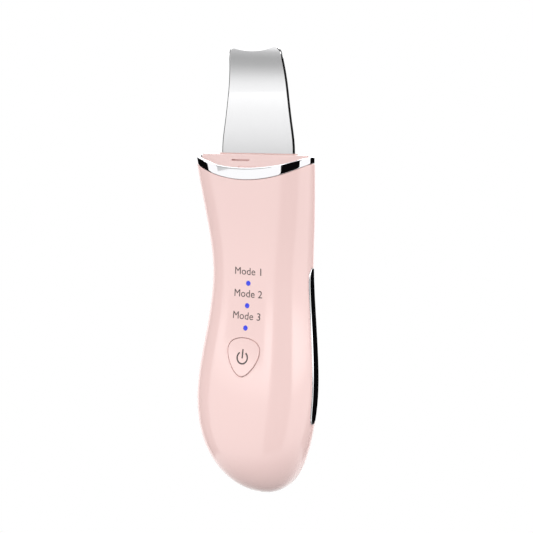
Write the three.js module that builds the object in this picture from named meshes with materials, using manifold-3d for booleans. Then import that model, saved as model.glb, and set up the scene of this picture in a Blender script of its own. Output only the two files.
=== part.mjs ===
// Ultrasonic skin scrubber: a hand-held facial spatula with a vibrating steel blade.
// Millimetres, +Z along the handle towards the blade, front (buttons) towards -Y, +X to the right.
// The origin is under the middle of the bounding box, on the flat that the tail stands on. Heights in this
// file count from where the round of the tail would close. Every piece is lowered by TAIL_FLAT at the end.

import * as THREE from 'three';
import { mergeVertices } from 'three/addons/utils/BufferGeometryUtils.js';
import Module from 'manifold-3d';

const wasm = await Module();
wasm.setup();

// ---------------------------------------------------------------- driving dimensions

// Handle stations: height, half width, place of the widest line in Y, and depth in front of and behind it.
const STATIONS = [
  { z: 0, halfWidth: 24.7, partingY: 9.1, front: 16.1, rear: 6.1 },
  { z: 20, halfWidth: 25.6, partingY: 1.7, front: 14.9, rear: 10.0 },
  { z: 40, halfWidth: 25.2, partingY: 1.3, front: 13.9, rear: 11.3 },
  { z: 56, halfWidth: 23.4, partingY: 3.6, front: 13.2, rear: 9.5 },
  { z: 72, halfWidth: 21.4, partingY: 5.7, front: 12.3, rear: 7.4 },
  { z: 88, halfWidth: 20.5, partingY: 5.9, front: 11.1, rear: 6.9 },
  { z: 104, halfWidth: 21.8, partingY: 3.8, front: 10.0, rear: 7.7 },
  { z: 120, halfWidth: 23.4, partingY: 0.6, front: 9.1, rear: 8.2 },
  { z: 136.5, halfWidth: 24.8, partingY: -2.5, front: 8.1, rear: 8.5 },
];
const SQUARENESS = 2.4; // superellipse exponent of every cross-section
const SIDE_ROUND = 66.6; // height over which the tail closes from full width
const DEPTH_ROUND = 26.4; // height over which the tail closes from full depth
const TAIL_FLAT = 1.6; // height at which the round tail is cut flat, so that the handle stands on it
const TAIL_FLOOR = 4.4; // where the hollow of the handle begins

const WALL = 1.6;
const GAP = 0.3; // clearance between neighbouring pieces

const RING_LOW = { z: 121.0, radius: 52 }; // lower edge of the neck ring, an arc that dips in the middle
const RING_HIGH = { z: 125.4, radius: 77 };

const RIDGE = { y: -0.9, z: 129.8 }; // straight front edge of the head cap's top
const CAP_BACK_Y = 4.6;
const DECK_FOOT = { y: -7.6, z: 125.3 };
const CAP_REAR_FOOT = { y: 6.5, z: 125.6 };
const CAP_SKIRT_Z = 117;

const BLADE_Y = 1.8;
const BLADE_THICKNESS = 1.2;
const BLADE_ROOT_Z = 127;
const BLADE_TIP = { centreZ: 167.2, hornZ: 168.5, hornAt: 0.76, shoulderZ: 164.4 };
const BLADE_BEND = 2.7; // how far the tip leans forward
const BLADE_BEND_FROM = 152;
const BLADE_HEIGHTS = [126, 134, 141, 148, 157, 165.2];
const BLADE_HALF_WIDTHS = [15, 14.9, 13.9, 12.9, 11.8, 10.8];
const BLADE_SCREW_HEIGHTS = [118.4, 122.4];
const BLADE_SLOT = { halfLength: 16.5, halfHeight: 2.3 }; // opening in the head cap
const SEAL_LIP = 0.4; // how far the seal stands out of the cap
const TANG = { halfWidth: 5, z: 115.8 };

const BUTTON = { z: 56.2, top: 6.8, bottom: -7.0, halfWidth: 6.6, cornerZ: 2.3 };
const LED_HEIGHTS = [83.0, 74.8, 66.7];
const LED_RADIUS = 1.0;
const FLANGE = 0.9; // how far the button's flange reaches under the casing, and how thick it is

const STRIP = { low: 31.5, high: 88.7, halfWidth: 2.6, proud: 0.35, depth: 0.7, studZ: 60 };
const STUD = { radius: 1.0, from: 18.6, to: 22.4 }; // distances from the YZ plane

const BACK_FLAT_Y = 12.6; // the back is flat where it would bulge past this
const COVER = { halfWidth: 11, low: 28, high: 92, corner: 4, thickness: 0.8 };
const CASE_SCREWS = [[-7.5, 33], [7.5, 33], [-7.5, 88], [7.5, 88]]; // x, z
const CASE_SPLIT_Y = 5.2; // where the front screw posts end
const CASE_SCREW_TIP = -1.6;
const CASE_SCREW_SEAT_Y = 8.9;
const CASE_SCREW = { shank: 1.0, head: 1.8, headHeight: 1.6 };
const SMALL_SCREW = { shank: 0.7, head: 1.5, headHeight: 1.1 };
const BOARD_SCREW_HEAD = 0.9; // height of a board screw's head
// Radii of the screw posts and of the well for a screw's head, and how deep in the wall the posts start.
const POST = { front: 2.4, rear: 3.2, headWell: 2.2, board: 2.2, inset: 0.8 };
const COVER_SEAT = { margin: 1.6, depth: 2.7 }; // thickened wall round and under the cover plate

const BOARD = { halfWidth: 12.5, low: 46, high: 92, front: 0, thickness: 1.6 };
const BOARD_SCREW = { x: 9.5, z: 49 };
const SWITCH_TOP = BOARD.front - GAP - 3.2;
const PLUNGER = { radius: 1.7, rise: 0.8 };

const PORT = { y: 6.4, mouthZ: 3.0, halfWidth: 4.5, halfHeight: 1.65, length: 7.4, wall: 0.35 };

const TRANSDUCER_RADIUS = 4.5;
const TRANSDUCER_BORE = 2.2;
const SLEEVE = 1.1; // outside of the rubber sleeve, beyond the transducer
const CLAMP_Z = [110.3, 113.2];
const CLAMP_MIDDLE = (CLAMP_Z[0] + CLAMP_Z[1]) / 2;
const CLAMP_REACH = 12;
const CLAMP_SCREW_X = 9.4;
const CLAMP_BORE = TRANSDUCER_RADIUS + SLEEVE + GAP;

const LEAD_RADIUS = 0.5;

// ---------------------------------------------------------------- small maths

// Natural cubic spline through the points (xs, ys).
function spline(xs, ys) {
  const n = xs.length;
  const second = new Array(n).fill(0);
  const ratio = new Array(n).fill(0);
  const carry = new Array(n).fill(0);
  for (let i = 1; i < n - 1; i++) {
    const before = xs[i] - xs[i - 1];
    const after = xs[i + 1] - xs[i];
    const slopeChange = (ys[i + 1] - ys[i]) / after - (ys[i] - ys[i - 1]) / before;
    const pivot = 2 * (before + after) - before * ratio[i - 1];
    ratio[i] = after / pivot;
    carry[i] = (6 * slopeChange - before * carry[i - 1]) / pivot;
  }
  for (let i = n - 2; i > 0; i--) {
    second[i] = carry[i] - ratio[i] * second[i + 1];
  }
  return (x) => {
    let i = 0;
    while (i < n - 2 && x > xs[i + 1]) i++;
    const h = xs[i + 1] - xs[i];
    const a = (xs[i + 1] - x) / h;
    const b = 1 - a;
    const bend = ((a ** 3 - a) * second[i] + (b ** 3 - b) * second[i + 1]) * h * h / 6;
    return a * ys[i] + b * ys[i + 1] + bend;
  };
}

const stationHeights = STATIONS.map((s) => s.z);
const stationSpline = (key) => spline(stationHeights, STATIONS.map((s) => s[key]));
const halfWidthAt = stationSpline('halfWidth');
const partingAt = stationSpline('partingY');
const frontAt = stationSpline('front');
const rearAt = stationSpline('rear');

// How far the tail has opened at height z: 0 at its tip, 1 from the height `over` upwards.
function opened(z, over) {
  const q = Math.min(Math.max((over - z) / over, 0), 1);
  return Math.sqrt(1 - q ** 3);
}

// One point of the handle's surface at height z, `inset` mm inside it.
function surfacePoint(z, angle, inset) {
  const c = Math.cos(angle);
  const s = Math.sin(angle);
  const power = 2 / SQUARENESS;
  const width = halfWidthAt(z) * opened(z, SIDE_ROUND) - inset;
  const depth = (s < 0 ? frontAt(z) : rearAt(z)) * opened(z, DEPTH_ROUND) - inset;
  const x = Math.sign(c) * Math.abs(c) ** power * width;
  const y = partingAt(z) + Math.sign(s) * Math.abs(s) ** power * depth;
  return [x, y, z];
}

// ---------------------------------------------------------------- solids

// Closed mesh through a list of rings of points, with a fan at each end.
function loftRings(rings, lowCentre, highCentre) {
  const count = rings[0].length;
  const positions = rings.flat(2);
  const index = [];
  for (let k = 0; k + 1 < rings.length; k++) {
    for (let i = 0; i < count; i++) {
      const j = (i + 1) % count;
      const a = k * count + i;
      const b = k * count + j;
      index.push(a, b, b + count, a, b + count, a + count);
    }
  }
  const low = positions.length / 3;
  positions.push(...lowCentre, ...highCentre);
  const top = (rings.length - 1) * count;
  for (let i = 0; i < count; i++) {
    const j = (i + 1) % count;
    index.push(low, j, i, low + 1, top + i, top + j);
  }
  const geometry = new THREE.BufferGeometry();
  geometry.setAttribute('position', new THREE.Float32BufferAttribute(positions, 3));
  geometry.setIndex(index);
  return geometry;
}

// Solid of the handle's shape between two heights; insetAt(z) is how far inside the surface it lies.
function handleSolid(heights, insetAt, segments) {
  const rings = heights.map((z) => {
    const ring = [];
    for (let i = 0; i < segments; i++) {
      ring.push(surfacePoint(z, 2 * Math.PI * i / segments, insetAt(z)));
    }
    return ring;
  });
  const low = heights[0];
  const high = heights[heights.length - 1];
  const lowEnd = low < 1 ? 0 : low;
  return solid(loftRings(rings, [0, partingAt(lowEnd), lowEnd], [0, partingAt(high), high]));
}

function steps(from, to, step) {
  const count = Math.round((to - from) / step);
  return Array.from({ length: count + 1 }, (_, i) => from + (to - from) * i / count);
}

// Manifold solid of a closed geometry, with its shared vertices merged and empty triangles dropped.
function solid(geometry) {
  const bare = new THREE.BufferGeometry();
  bare.setAttribute('position', geometry.attributes.position.clone());
  if (geometry.index) bare.setIndex(geometry.index.clone());
  const merged = mergeVertices(bare, 1e-4);
  const corners = merged.index.array;
  const kept = [];
  for (let i = 0; i < corners.length; i += 3) {
    const [a, b, c] = [corners[i], corners[i + 1], corners[i + 2]];
    if (a !== b && b !== c && c !== a) kept.push(a, b, c);
  }
  const vertProperties = new Float32Array(merged.attributes.position.array);
  return new wasm.Manifold(new wasm.Mesh({ numProp: 3, vertProperties, triVerts: new Uint32Array(kept) }));
}

function geometryOf(manifold) {
  const mesh = manifold.getMesh();
  const geometry = new THREE.BufferGeometry();
  geometry.setAttribute('position', new THREE.Float32BufferAttribute(mesh.vertProperties, 3));
  geometry.setIndex(Array.from(mesh.triVerts));
  return geometry;
}

function box([x0, x1], [y0, y1], [z0, z1]) {
  const geometry = new THREE.BoxGeometry(x1 - x0, y1 - y0, z1 - z0);
  geometry.translate((x0 + x1) / 2, (y0 + y1) / 2, (z0 + z1) / 2);
  return solid(geometry);
}

// Cylinder along Z, Y or X between two values on that axis.
function cylinderZ(radius, x, y, [z0, z1], sides = 20) {
  const geometry = new THREE.CylinderGeometry(radius, radius, z1 - z0, sides);
  geometry.rotateX(Math.PI / 2);
  geometry.translate(x, y, (z0 + z1) / 2);
  return solid(geometry);
}

function cylinderY(radius, x, z, [y0, y1], sides = 12) {
  const geometry = new THREE.CylinderGeometry(radius, radius, y1 - y0, sides);
  geometry.translate(x, (y0 + y1) / 2, z);
  return solid(geometry);
}

function cylinderX(radius, y, z, [x0, x1], sides = 10) {
  const geometry = new THREE.CylinderGeometry(radius, radius, x1 - x0, sides);
  geometry.rotateZ(Math.PI / 2);
  geometry.translate((x0 + x1) / 2, y, z);
  return solid(geometry);
}

// Prism along Y of an outline drawn in X and Z.
function prismY(shape, [y0, y1], curveSegments = 8) {
  const geometry = new THREE.ExtrudeGeometry(shape, { depth: y1 - y0, bevelEnabled: false, curveSegments });
  geometry.rotateX(Math.PI / 2);
  geometry.translate(0, y1, 0);
  return solid(geometry);
}

// Prism along X of an outline drawn in Y and Z.
function prismX(shape, [x0, x1]) {
  const geometry = new THREE.ExtrudeGeometry(shape, { depth: x1 - x0, bevelEnabled: false });
  const turn = new THREE.Matrix4().makeBasis(
    new THREE.Vector3(0, 1, 0),
    new THREE.Vector3(0, 0, 1),
    new THREE.Vector3(1, 0, 0),
  );
  geometry.applyMatrix4(turn);
  geometry.translate(x0, 0, 0);
  return solid(geometry);
}

// Prism along Z of an outline drawn in X and Y.
function prismZ(shape, [z0, z1], curveSegments = 6) {
  const geometry = new THREE.ExtrudeGeometry(shape, { depth: z1 - z0, bevelEnabled: false, curveSegments });
  geometry.translate(0, 0, z0);
  return solid(geometry);
}

function polygon(points) {
  return new THREE.Shape(points.map(([u, v]) => new THREE.Vector2(u, v)));
}

// Slot outline with half-round ends, centred on (u, v) and longest along u.
function slotShape(u, v, halfLength, halfHeight) {
  const shape = new THREE.Shape();
  const arm = halfLength - halfHeight;
  shape.absarc(u + arm, v, halfHeight, -Math.PI / 2, Math.PI / 2, false);
  shape.absarc(u - arm, v, halfHeight, Math.PI / 2, 3 * Math.PI / 2, false);
  return shape;
}

function roundedRectangle(u0, u1, v0, v1, radius) {
  const shape = new THREE.Shape();
  shape.absarc(u1 - radius, v0 + radius, radius, -Math.PI / 2, 0, false);
  shape.absarc(u1 - radius, v1 - radius, radius, 0, Math.PI / 2, false);
  shape.absarc(u0 + radius, v1 - radius, radius, Math.PI / 2, Math.PI, false);
  shape.absarc(u0 + radius, v0 + radius, radius, Math.PI, 3 * Math.PI / 2, false);
  return shape;
}

// Insulated lead along a smooth route.
function lead(points, radius) {
  const path = new THREE.CatmullRomCurve3(points.map((p) => new THREE.Vector3(...p)));
  const section = new THREE.Shape();
  section.absarc(0, 0, radius, 0, 2 * Math.PI, false);
  return new THREE.ExtrudeGeometry(section, { extrudePath: path, steps: 8, curveSegments: 3 });
}

// ---------------------------------------------------------------- cutting shapes shared by pieces

const TOP = 136;
const tailHeights = steps(0, 7, 1).slice(1).map((k) => DEPTH_ROUND * (1 - Math.cos(k * Math.PI / 14)));
const fullHeights = [...tailHeights, ...steps(34, TOP, 6)];
const standing = box([-40, 40], [-40, 40], [TAIL_FLAT, 200]);
const outer = flatBacked(handleSolid(fullHeights, () => 0, 36), 0).intersect(standing);
const cavity = handleSolid([TAIL_FLOOR, 7, 11, 16, 22, ...steps(28, TOP, 9)], () => WALL, 24);
const postLimit = handleSolid([2, 5, 10, 18, ...steps(28, TOP, 12)], () => POST.inset, 24);

// The solid with the handle's flat back, `inset` mm inside it.
function flatBacked(manifold, inset) {
  return manifold.intersect(box([-40, 40], [-40, BACK_FLAT_Y - inset], [-10, 200]));
}

// The handle's shape from below the cover plate to above it, `inset` mm inside the surface.
function backSolid(inset) {
  return flatBacked(handleSolid(steps(20, 100, 8), () => inset, 36), inset);
}

// Region below one edge of the neck ring, as a prism along Y.
function belowArc(edge, shift) {
  const reach = 34;
  const centreZ = edge.z + edge.radius + shift;
  const drop = Math.sqrt(edge.radius ** 2 - reach ** 2);
  const half = Math.asin(reach / edge.radius);
  const shape = new THREE.Shape();
  shape.moveTo(-reach, -10);
  shape.lineTo(reach, -10);
  shape.lineTo(reach, centreZ - drop);
  shape.absarc(0, centreZ, edge.radius, -Math.PI / 2 + half, -Math.PI / 2 - half, true);
  return prismY(shape, [-40, 40], 16);
}

// Everything in front of the parting line between the two casings.
function inFrontOfParting(shift) {
  const line = steps(-6, TOP + 4, 7).map((z) => [partingAt(z) + shift, z]);
  return prismX(polygon([[-40, -6], ...line, [-40, TOP + 4]]), [-40, 40]);
}

// Roof of the head cap, `drop` mm below its outside.
function roof(drop) {
  const deck = (RIDGE.z - DECK_FOOT.z) / (RIDGE.y - DECK_FOOT.y);
  const back = (RIDGE.z - CAP_REAR_FOOT.z) / (CAP_REAR_FOOT.y - CAP_BACK_Y);
  const far = 14;
  const backReach = 4;
  return prismX(polygon([
    [-far, 100],
    [CAP_BACK_Y + backReach, 100],
    [CAP_BACK_Y + backReach, RIDGE.z - back * backReach - drop],
    [CAP_BACK_Y, RIDGE.z - drop],
    [RIDGE.y, RIDGE.z - drop],
    [-far, RIDGE.z - deck * (far + RIDGE.y) - drop],
  ]), [-30, 30]);
}

function buttonShape(grow) {
  const width = BUTTON.halfWidth + grow;
  const top = BUTTON.top + grow;
  const bottom = BUTTON.bottom - grow;
  const z = BUTTON.z;
  const shape = new THREE.Shape();
  shape.moveTo(0, z + top);
  shape.bezierCurveTo(-3.6, z + top, -width, z + top - 1.5, -width, z + BUTTON.cornerZ);
  shape.bezierCurveTo(-width, z - 1.5, -2.6, z + bottom, 0, z + bottom);
  shape.bezierCurveTo(2.6, z + bottom, width, z - 1.5, width, z + BUTTON.cornerZ);
  shape.bezierCurveTo(width, z + top - 1.5, 3.6, z + top, 0, z + top);
  return shape;
}

// Outline of a side strip in Y and Z: it follows the widest line and closes to rounded points.
function stripShape(grow) {
  const middle = (STRIP.low + STRIP.high) / 2;
  const reach = (STRIP.high - STRIP.low) / 2 + grow;
  const at = (z, side) => {
    const t = Math.abs(z - middle) / reach;
    return [partingAt(z) + side * (STRIP.halfWidth + grow) * Math.sqrt(Math.max(1 - t ** 12, 0)), z];
  };
  const ends = [0, 0.35, 0.9, 1.8, 3.2];
  const low = ends.map((d) => middle - reach + d);
  const high = ends.map((d) => middle + reach - d).reverse();
  const heights = [...low, ...steps(middle - reach + 8, middle + reach - 8, 6), ...high];
  const frontEdge = heights.map((z) => at(z, -1));
  const rearEdge = heights.slice(1, -1).reverse().map((z) => at(z, 1));
  return polygon([...frontEdge, ...rearEdge]);
}

const stripHeights = steps(24, 96, 9);
const stripOuter = handleSolid(stripHeights, () => -STRIP.proud, 36);
const stripInner = handleSolid(stripHeights, () => STRIP.depth, 36);
const stripFloor = handleSolid(stripHeights, () => STRIP.depth + GAP, 36);

function stripRecess(side) {
  const reach = side > 0 ? [8, 34] : [-34, -8];
  const hole = side > 0 ? [10, 30] : [-30, -10];
  return prismX(stripShape(GAP), reach).subtract(stripFloor)
    .add(cylinderX(STUD.radius + GAP, partingAt(STRIP.studZ), STRIP.studZ, hole));
}

function portOpening() {
  const shape = slotShape(0, PORT.y, PORT.halfWidth + GAP, PORT.halfHeight + GAP);
  return prismZ(shape, [-4, PORT.mouthZ + PORT.length + 1]);
}

// ---------------------------------------------------------------- casings, ring and cap

const casingShell = outer.subtract(cavity).intersect(belowArc(RING_LOW, -GAP / 2))
  .subtract(stripRecess(1))
  .subtract(stripRecess(-1))
  .subtract(portOpening());

function frontCasing() {
  const ahead = inFrontOfParting(-GAP / 2);
  const farFront = -15;
  let casing = casingShell.intersect(ahead);
  for (const [x, z] of CASE_SCREWS) {
    casing = casing.add(cylinderY(POST.front, x, z, [farFront, CASE_SPLIT_Y]).intersect(postLimit));
  }
  for (const side of [-1, 1]) {
    const post = cylinderY(POST.board, side * BOARD_SCREW.x, BOARD_SCREW.z, [farFront, BOARD.front - GAP]);
    casing = casing.add(post.intersect(postLimit));
  }
  const cradle = box([-CLAMP_REACH, CLAMP_REACH], [-12, BLADE_Y - 0.2], CLAMP_Z).intersect(postLimit)
    .subtract(cylinderZ(CLAMP_BORE, 0, BLADE_Y, [105, 116]));
  casing = casing.add(cradle);
  for (const [x, z] of CASE_SCREWS) {
    const span = [CASE_SCREW_TIP - GAP, CASE_SPLIT_Y + 1];
    casing = casing.subtract(cylinderY(CASE_SCREW.shank + GAP, x, z, span));
  }
  for (const side of [-1, 1]) {
    const bore = SMALL_SCREW.shank + GAP;
    casing = casing.subtract(cylinderY(bore, side * BOARD_SCREW.x, BOARD_SCREW.z, [-6, 1]));
    casing = casing.subtract(cylinderY(bore, side * CLAMP_SCREW_X, CLAMP_MIDDLE, [-3.4, 2]));
  }
  casing = casing.subtract(prismY(buttonShape(GAP), [-30, BOARD.front - 1]));
  for (const z of LED_HEIGHTS) {
    casing = casing.subtract(cylinderY(LED_RADIUS + GAP, 0, z, [-30, -1]));
  }
  return casing;
}

function rearCasing() {
  const ahead = inFrontOfParting(GAP / 2);
  const farBack = 15;
  const { margin, depth } = COVER_SEAT;
  let casing = casingShell.subtract(ahead);
  const seat = box(
    [-COVER.halfWidth - margin, COVER.halfWidth + margin],
    [8, 16],
    [COVER.low - margin, COVER.high + margin],
  );
  casing = casing.add(seat.intersect(backSolid(POST.inset)).subtract(backSolid(depth)));
  for (const [x, z] of CASE_SCREWS) {
    const post = cylinderY(POST.rear, x, z, [CASE_SPLIT_Y + GAP, farBack]);
    casing = casing.add(post.intersect(backSolid(POST.inset)));
  }
  casing = casing.subtract(prismY(coverShape(GAP), [6, 20]).subtract(backSolid(COVER.thickness + GAP)));
  for (const [x, z] of CASE_SCREWS) {
    casing = casing.subtract(cylinderY(POST.headWell, x, z, [CASE_SCREW_SEAT_Y - GAP, farBack]));
    casing = casing.subtract(cylinderY(CASE_SCREW.shank + GAP, x, z, [CASE_SPLIT_Y - 1, farBack]));
  }
  return casing;
}

function coverShape(grow) {
  const { halfWidth, low, high, corner } = COVER;
  return roundedRectangle(-halfWidth - grow, halfWidth + grow, low - grow, high + grow, corner + grow);
}

function rearCover() {
  return prismY(coverShape(0), [6, 20]).intersect(backSolid(0)).subtract(backSolid(COVER.thickness));
}

function neckRing() {
  const heights = [116, 122, 128, 134];
  return handleSolid(heights, () => 0, 36)
    .subtract(handleSolid([114, ...heights, 137], () => WALL, 28))
    .intersect(belowArc(RING_HIGH, 0))
    .subtract(belowArc(RING_LOW, GAP / 2));
}

function headCap() {
  const skirt = WALL + GAP;
  const taper = (z) => skirt + 0.12 * Math.max(0, z - 126);
  const slot = slotShape(0, BLADE_Y, BLADE_SLOT.halfLength, BLADE_SLOT.halfHeight);
  const snapSlot = box([-8, -0.4], [-6, -2.2], [127.5, 128.1]);
  const footNotch = box([-3.2, 4.4], [-9, -6.6], [125.1, 125.9]);
  return handleSolid([CAP_SKIRT_Z, 121, 125, 129, 132], taper, 32)
    .intersect(roof(0))
    .subtract(handleSolid([114, 120, 126, 131], () => skirt + WALL, 24).intersect(roof(2.0)))
    .subtract(prismZ(slot, [110, 140]))
    .subtract(snapSlot)
    .subtract(footNotch);
}

function bladeSeal() {
  const around = slotShape(0, BLADE_Y, BLADE_SLOT.halfLength - GAP, BLADE_SLOT.halfHeight - GAP);
  const inside = slotShape(0, BLADE_Y, BLADE_HALF_WIDTHS[0] + GAP, BLADE_THICKNESS / 2 + GAP);
  return prismZ(around, [RIDGE.z - 2.4, RIDGE.z + SEAL_LIP]).subtract(prismZ(inside, [120, 140]));
}

function sideStrip(side) {
  const reach = side > 0 ? [8, 34] : [-34, -8];
  const bar = prismX(stripShape(0), reach).intersect(stripOuter).subtract(stripInner);
  const span = side > 0 ? [STUD.from, STUD.to] : [-STUD.to, -STUD.from];
  return bar.add(cylinderX(STUD.radius, partingAt(STRIP.studZ), STRIP.studZ, span));
}

// ---------------------------------------------------------------- blade and transducer

const bladeHalfWidth = spline(BLADE_HEIGHTS, BLADE_HALF_WIDTHS);

// Height of the blade's tip edge across its width, u from -1 to 1: two horns with a shallow dip between.
function tipHeight(u) {
  const across = Math.abs(u);
  const { centreZ, hornZ, hornAt, shoulderZ } = BLADE_TIP;
  if (across <= hornAt) return centreZ + (hornZ - centreZ) * (across / hornAt) ** 2;
  const round = (across - hornAt) / (1 - hornAt);
  return shoulderZ + (hornZ - shoulderZ) * Math.sqrt(Math.max(1 - round ** 2, 0));
}

function bladePoint(u, v, face) {
  const z = BLADE_ROOT_Z + v * (tipHeight(u) - BLADE_ROOT_Z);
  const lean = Math.max(0, z - BLADE_BEND_FROM) / (BLADE_TIP.hornZ - BLADE_BEND_FROM);
  const thin = 1 - 0.6 * Math.max(0, v - 0.9) / 0.1;
  const x = u * bladeHalfWidth(Math.min(z, BLADE_TIP.shoulderZ));
  return [x, BLADE_Y - BLADE_BEND * lean ** 2 + face * BLADE_THICKNESS / 2 * thin, z];
}

function blade() {
  const columns = 14;
  const rows = 11;
  const rings = [];
  for (let k = 0; k <= rows; k++) {
    const v = k / rows;
    const us = steps(-1, 1, 2 / columns);
    const front = us.map((u) => bladePoint(u, v, -1));
    const back = us.map((u) => bladePoint(-u, v, 1));
    rings.push([...front, ...back]);
  }
  const count = rings[0].length;
  const positions = rings.flat(2);
  const index = [];
  for (let k = 0; k < rows; k++) {
    for (let i = 0; i < count; i++) {
      const j = (i + 1) % count;
      const a = k * count + i;
      const b = k * count + j;
      index.push(a, b, b + count, a, b + count, a + count);
    }
  }
  const last = rows * count;
  for (let i = 0; i < columns; i++) {
    const [a, b] = [i, i + 1];
    const [c, d] = [count - 2 - i, count - 1 - i];
    index.push(a, d, b, b, d, c);
    index.push(last + a, last + b, last + d, last + b, last + c, last + d);
  }
  const geometry = new THREE.BufferGeometry();
  geometry.setAttribute('position', new THREE.Float32BufferAttribute(positions, 3));
  geometry.setIndex(index);
  const half = BLADE_THICKNESS / 2;
  let plate = solid(geometry).add(prismY(
    roundedRectangle(-TANG.halfWidth, TANG.halfWidth, TANG.z, BLADE_ROOT_Z + 3, 1),
    [BLADE_Y - half, BLADE_Y + half],
  ));
  for (const z of BLADE_SCREW_HEIGHTS) {
    plate = plate.subtract(cylinderY(SMALL_SCREW.shank + GAP, 0, z, [-5, 10]));
  }
  return plate;
}

function transducerHorn() {
  const profile = [
    [0, 108.8],
    [TRANSDUCER_RADIUS, 108.8],
    [TRANSDUCER_RADIUS, 114],
    [3.6, 114.6],
    [2.5, 115.6],
    [2.5, 124.0],
    [0, 124.0],
  ].map(([r, z]) => new THREE.Vector2(r, z));
  const lathe = new THREE.LatheGeometry(profile, 20);
  lathe.rotateX(Math.PI / 2);
  lathe.translate(0, BLADE_Y, 0);
  const lap = BLADE_Y + BLADE_THICKNESS / 2 + GAP;
  let horn = solid(lathe)
    .subtract(box([-6, 6], [-10, lap], [TANG.z - GAP - 0.1, 130]))
    .subtract(cylinderZ(1.5 + GAP, 0, BLADE_Y, [100, 112.6]));
  for (const z of BLADE_SCREW_HEIGHTS) {
    horn = horn.subtract(cylinderY(SMALL_SCREW.shank + GAP, 0, z, [0, 3.7]));
  }
  return horn;
}

function hollowDisc(radius, bore, [z0, z1]) {
  return cylinderZ(radius, 0, BLADE_Y, [z0, z1], 20)
    .subtract(cylinderZ(bore, 0, BLADE_Y, [z0 - 1, z1 + 1], 12));
}

function electrode([z0, z1], side) {
  const reach = side > 0 ? [4, 7.6] : [-7.6, -4];
  return hollowDisc(TRANSDUCER_RADIUS, TRANSDUCER_BORE, [z0, z1])
    .add(box(reach, [BLADE_Y - 1, BLADE_Y + 1], [z0, z1]));
}

function transducerBolt() {
  return cylinderZ(2.9, 0, BLADE_Y, [94.4, 97.2], 6)
    .add(cylinderZ(1.5, 0, BLADE_Y, [97.1, 112], 16));
}

function transducerClamp() {
  const front = BLADE_Y + 0.1;
  let saddle = cylinderZ(CLAMP_BORE + 0.7, 0, BLADE_Y, CLAMP_Z, 24)
    .add(box([-CLAMP_REACH, CLAMP_REACH], [front, BLADE_Y + 2], CLAMP_Z))
    .intersect(box([-20, 20], [front, 20], [100, 120]))
    .subtract(cylinderZ(CLAMP_BORE, 0, BLADE_Y, [100, 120], 24));
  for (const side of [-1, 1]) {
    const bore = cylinderY(SMALL_SCREW.shank + GAP, side * CLAMP_SCREW_X, CLAMP_MIDDLE, [-5, 10]);
    saddle = saddle.subtract(bore);
  }
  return saddle;
}

// Pan-head screw along Y: the shank points towards `tipY` and the head sits beyond `seatY`.
function screw(x, z, tipY, seatY, { shank, head, headHeight }) {
  const away = Math.sign(seatY - tipY);
  const shankSpan = [Math.min(tipY, seatY + away * 0.1), Math.max(tipY, seatY + away * 0.1)];
  const headEnd = seatY + away * headHeight;
  const headSpan = [Math.min(seatY, headEnd), Math.max(seatY, headEnd)];
  const socketStart = seatY + away * headHeight * 0.45;
  const socketSpan = [Math.min(socketStart, headEnd + away), Math.max(socketStart, headEnd + away)];
  return cylinderY(shank, x, z, shankSpan, 8)
    .add(cylinderY(head, x, z, headSpan, 12))
    .subtract(cylinderY(head * 0.45, x, z, socketSpan, 6));
}

// ---------------------------------------------------------------- controls, board and power

function powerButton() {
  const cap = prismY(buttonShape(0), [-30, 0])
    .intersect(handleSolid(steps(44, 68, 3), () => -0.25, 44))
    .subtract(handleSolid(steps(40, 72, 4), () => WALL, 36));
  const flange = prismY(buttonShape(FLANGE), [-30, 0])
    .intersect(handleSolid(steps(44, 68, 3), () => WALL + GAP, 36))
    .subtract(handleSolid(steps(40, 72, 4), () => WALL + GAP + FLANGE, 36));
  const core = prismY(buttonShape(-0.4), [-30, 0])
    .intersect(handleSolid(steps(44, 68, 3), () => 1.0, 36))
    .subtract(handleSolid(steps(40, 72, 4), () => WALL + GAP + 0.5, 36));
  const stem = cylinderY(1.9, 0, BUTTON.z, [-8.2, SWITCH_TOP - PLUNGER.rise - GAP], 16);
  return cap.add(flange).add(core).add(stem);
}

function switchBody() {
  const body = box([-3, 3], [SWITCH_TOP, BOARD.front - GAP], [BUTTON.z - 3, BUTTON.z + 3]);
  return body.subtract(cylinderY(PLUNGER.radius + GAP, 0, BUTTON.z, [SWITCH_TOP - 1, SWITCH_TOP + 1.6]));
}

function switchPlunger() {
  return cylinderY(PLUNGER.radius, 0, BUTTON.z, [SWITCH_TOP - PLUNGER.rise, SWITCH_TOP + 0.8]);
}

function lightPipe(z) {
  return cylinderY(LED_RADIUS, 0, z, [-20, BOARD.front - 1.5], 16).intersect(outer);
}

function circuitBoard() {
  const back = BOARD.front + BOARD.thickness;
  let board = prismY(
    roundedRectangle(-BOARD.halfWidth, BOARD.halfWidth, BOARD.low, BOARD.high, 2),
    [BOARD.front, back],
  );
  for (const [x, z] of CASE_SCREWS.filter((place) => place[1] > BOARD.low)) {
    board = board.subtract(cylinderY(POST.front + GAP, x, z, [-3, 5]));
  }
  for (const side of [-1, 1]) {
    const bore = SMALL_SCREW.shank + GAP;
    board = board.subtract(cylinderY(bore, side * BOARD_SCREW.x, BOARD_SCREW.z, [-3, 5]));
  }
  return board;
}

function usbShell() {
  const z = [PORT.mouthZ, PORT.mouthZ + PORT.length];
  const around = slotShape(0, PORT.y, PORT.halfWidth, PORT.halfHeight);
  const inside = slotShape(0, PORT.y, PORT.halfWidth - PORT.wall, PORT.halfHeight - PORT.wall);
  return prismZ(around, z).subtract(prismZ(inside, [z[0] - 1, z[1] - 0.8]));
}

function usbTongue() {
  const top = PORT.mouthZ + PORT.length - 0.8 - GAP;
  return box([-3.2, 3.2], [PORT.y - 0.35, PORT.y + 0.35], [PORT.mouthZ + 0.9, top]);
}

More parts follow.
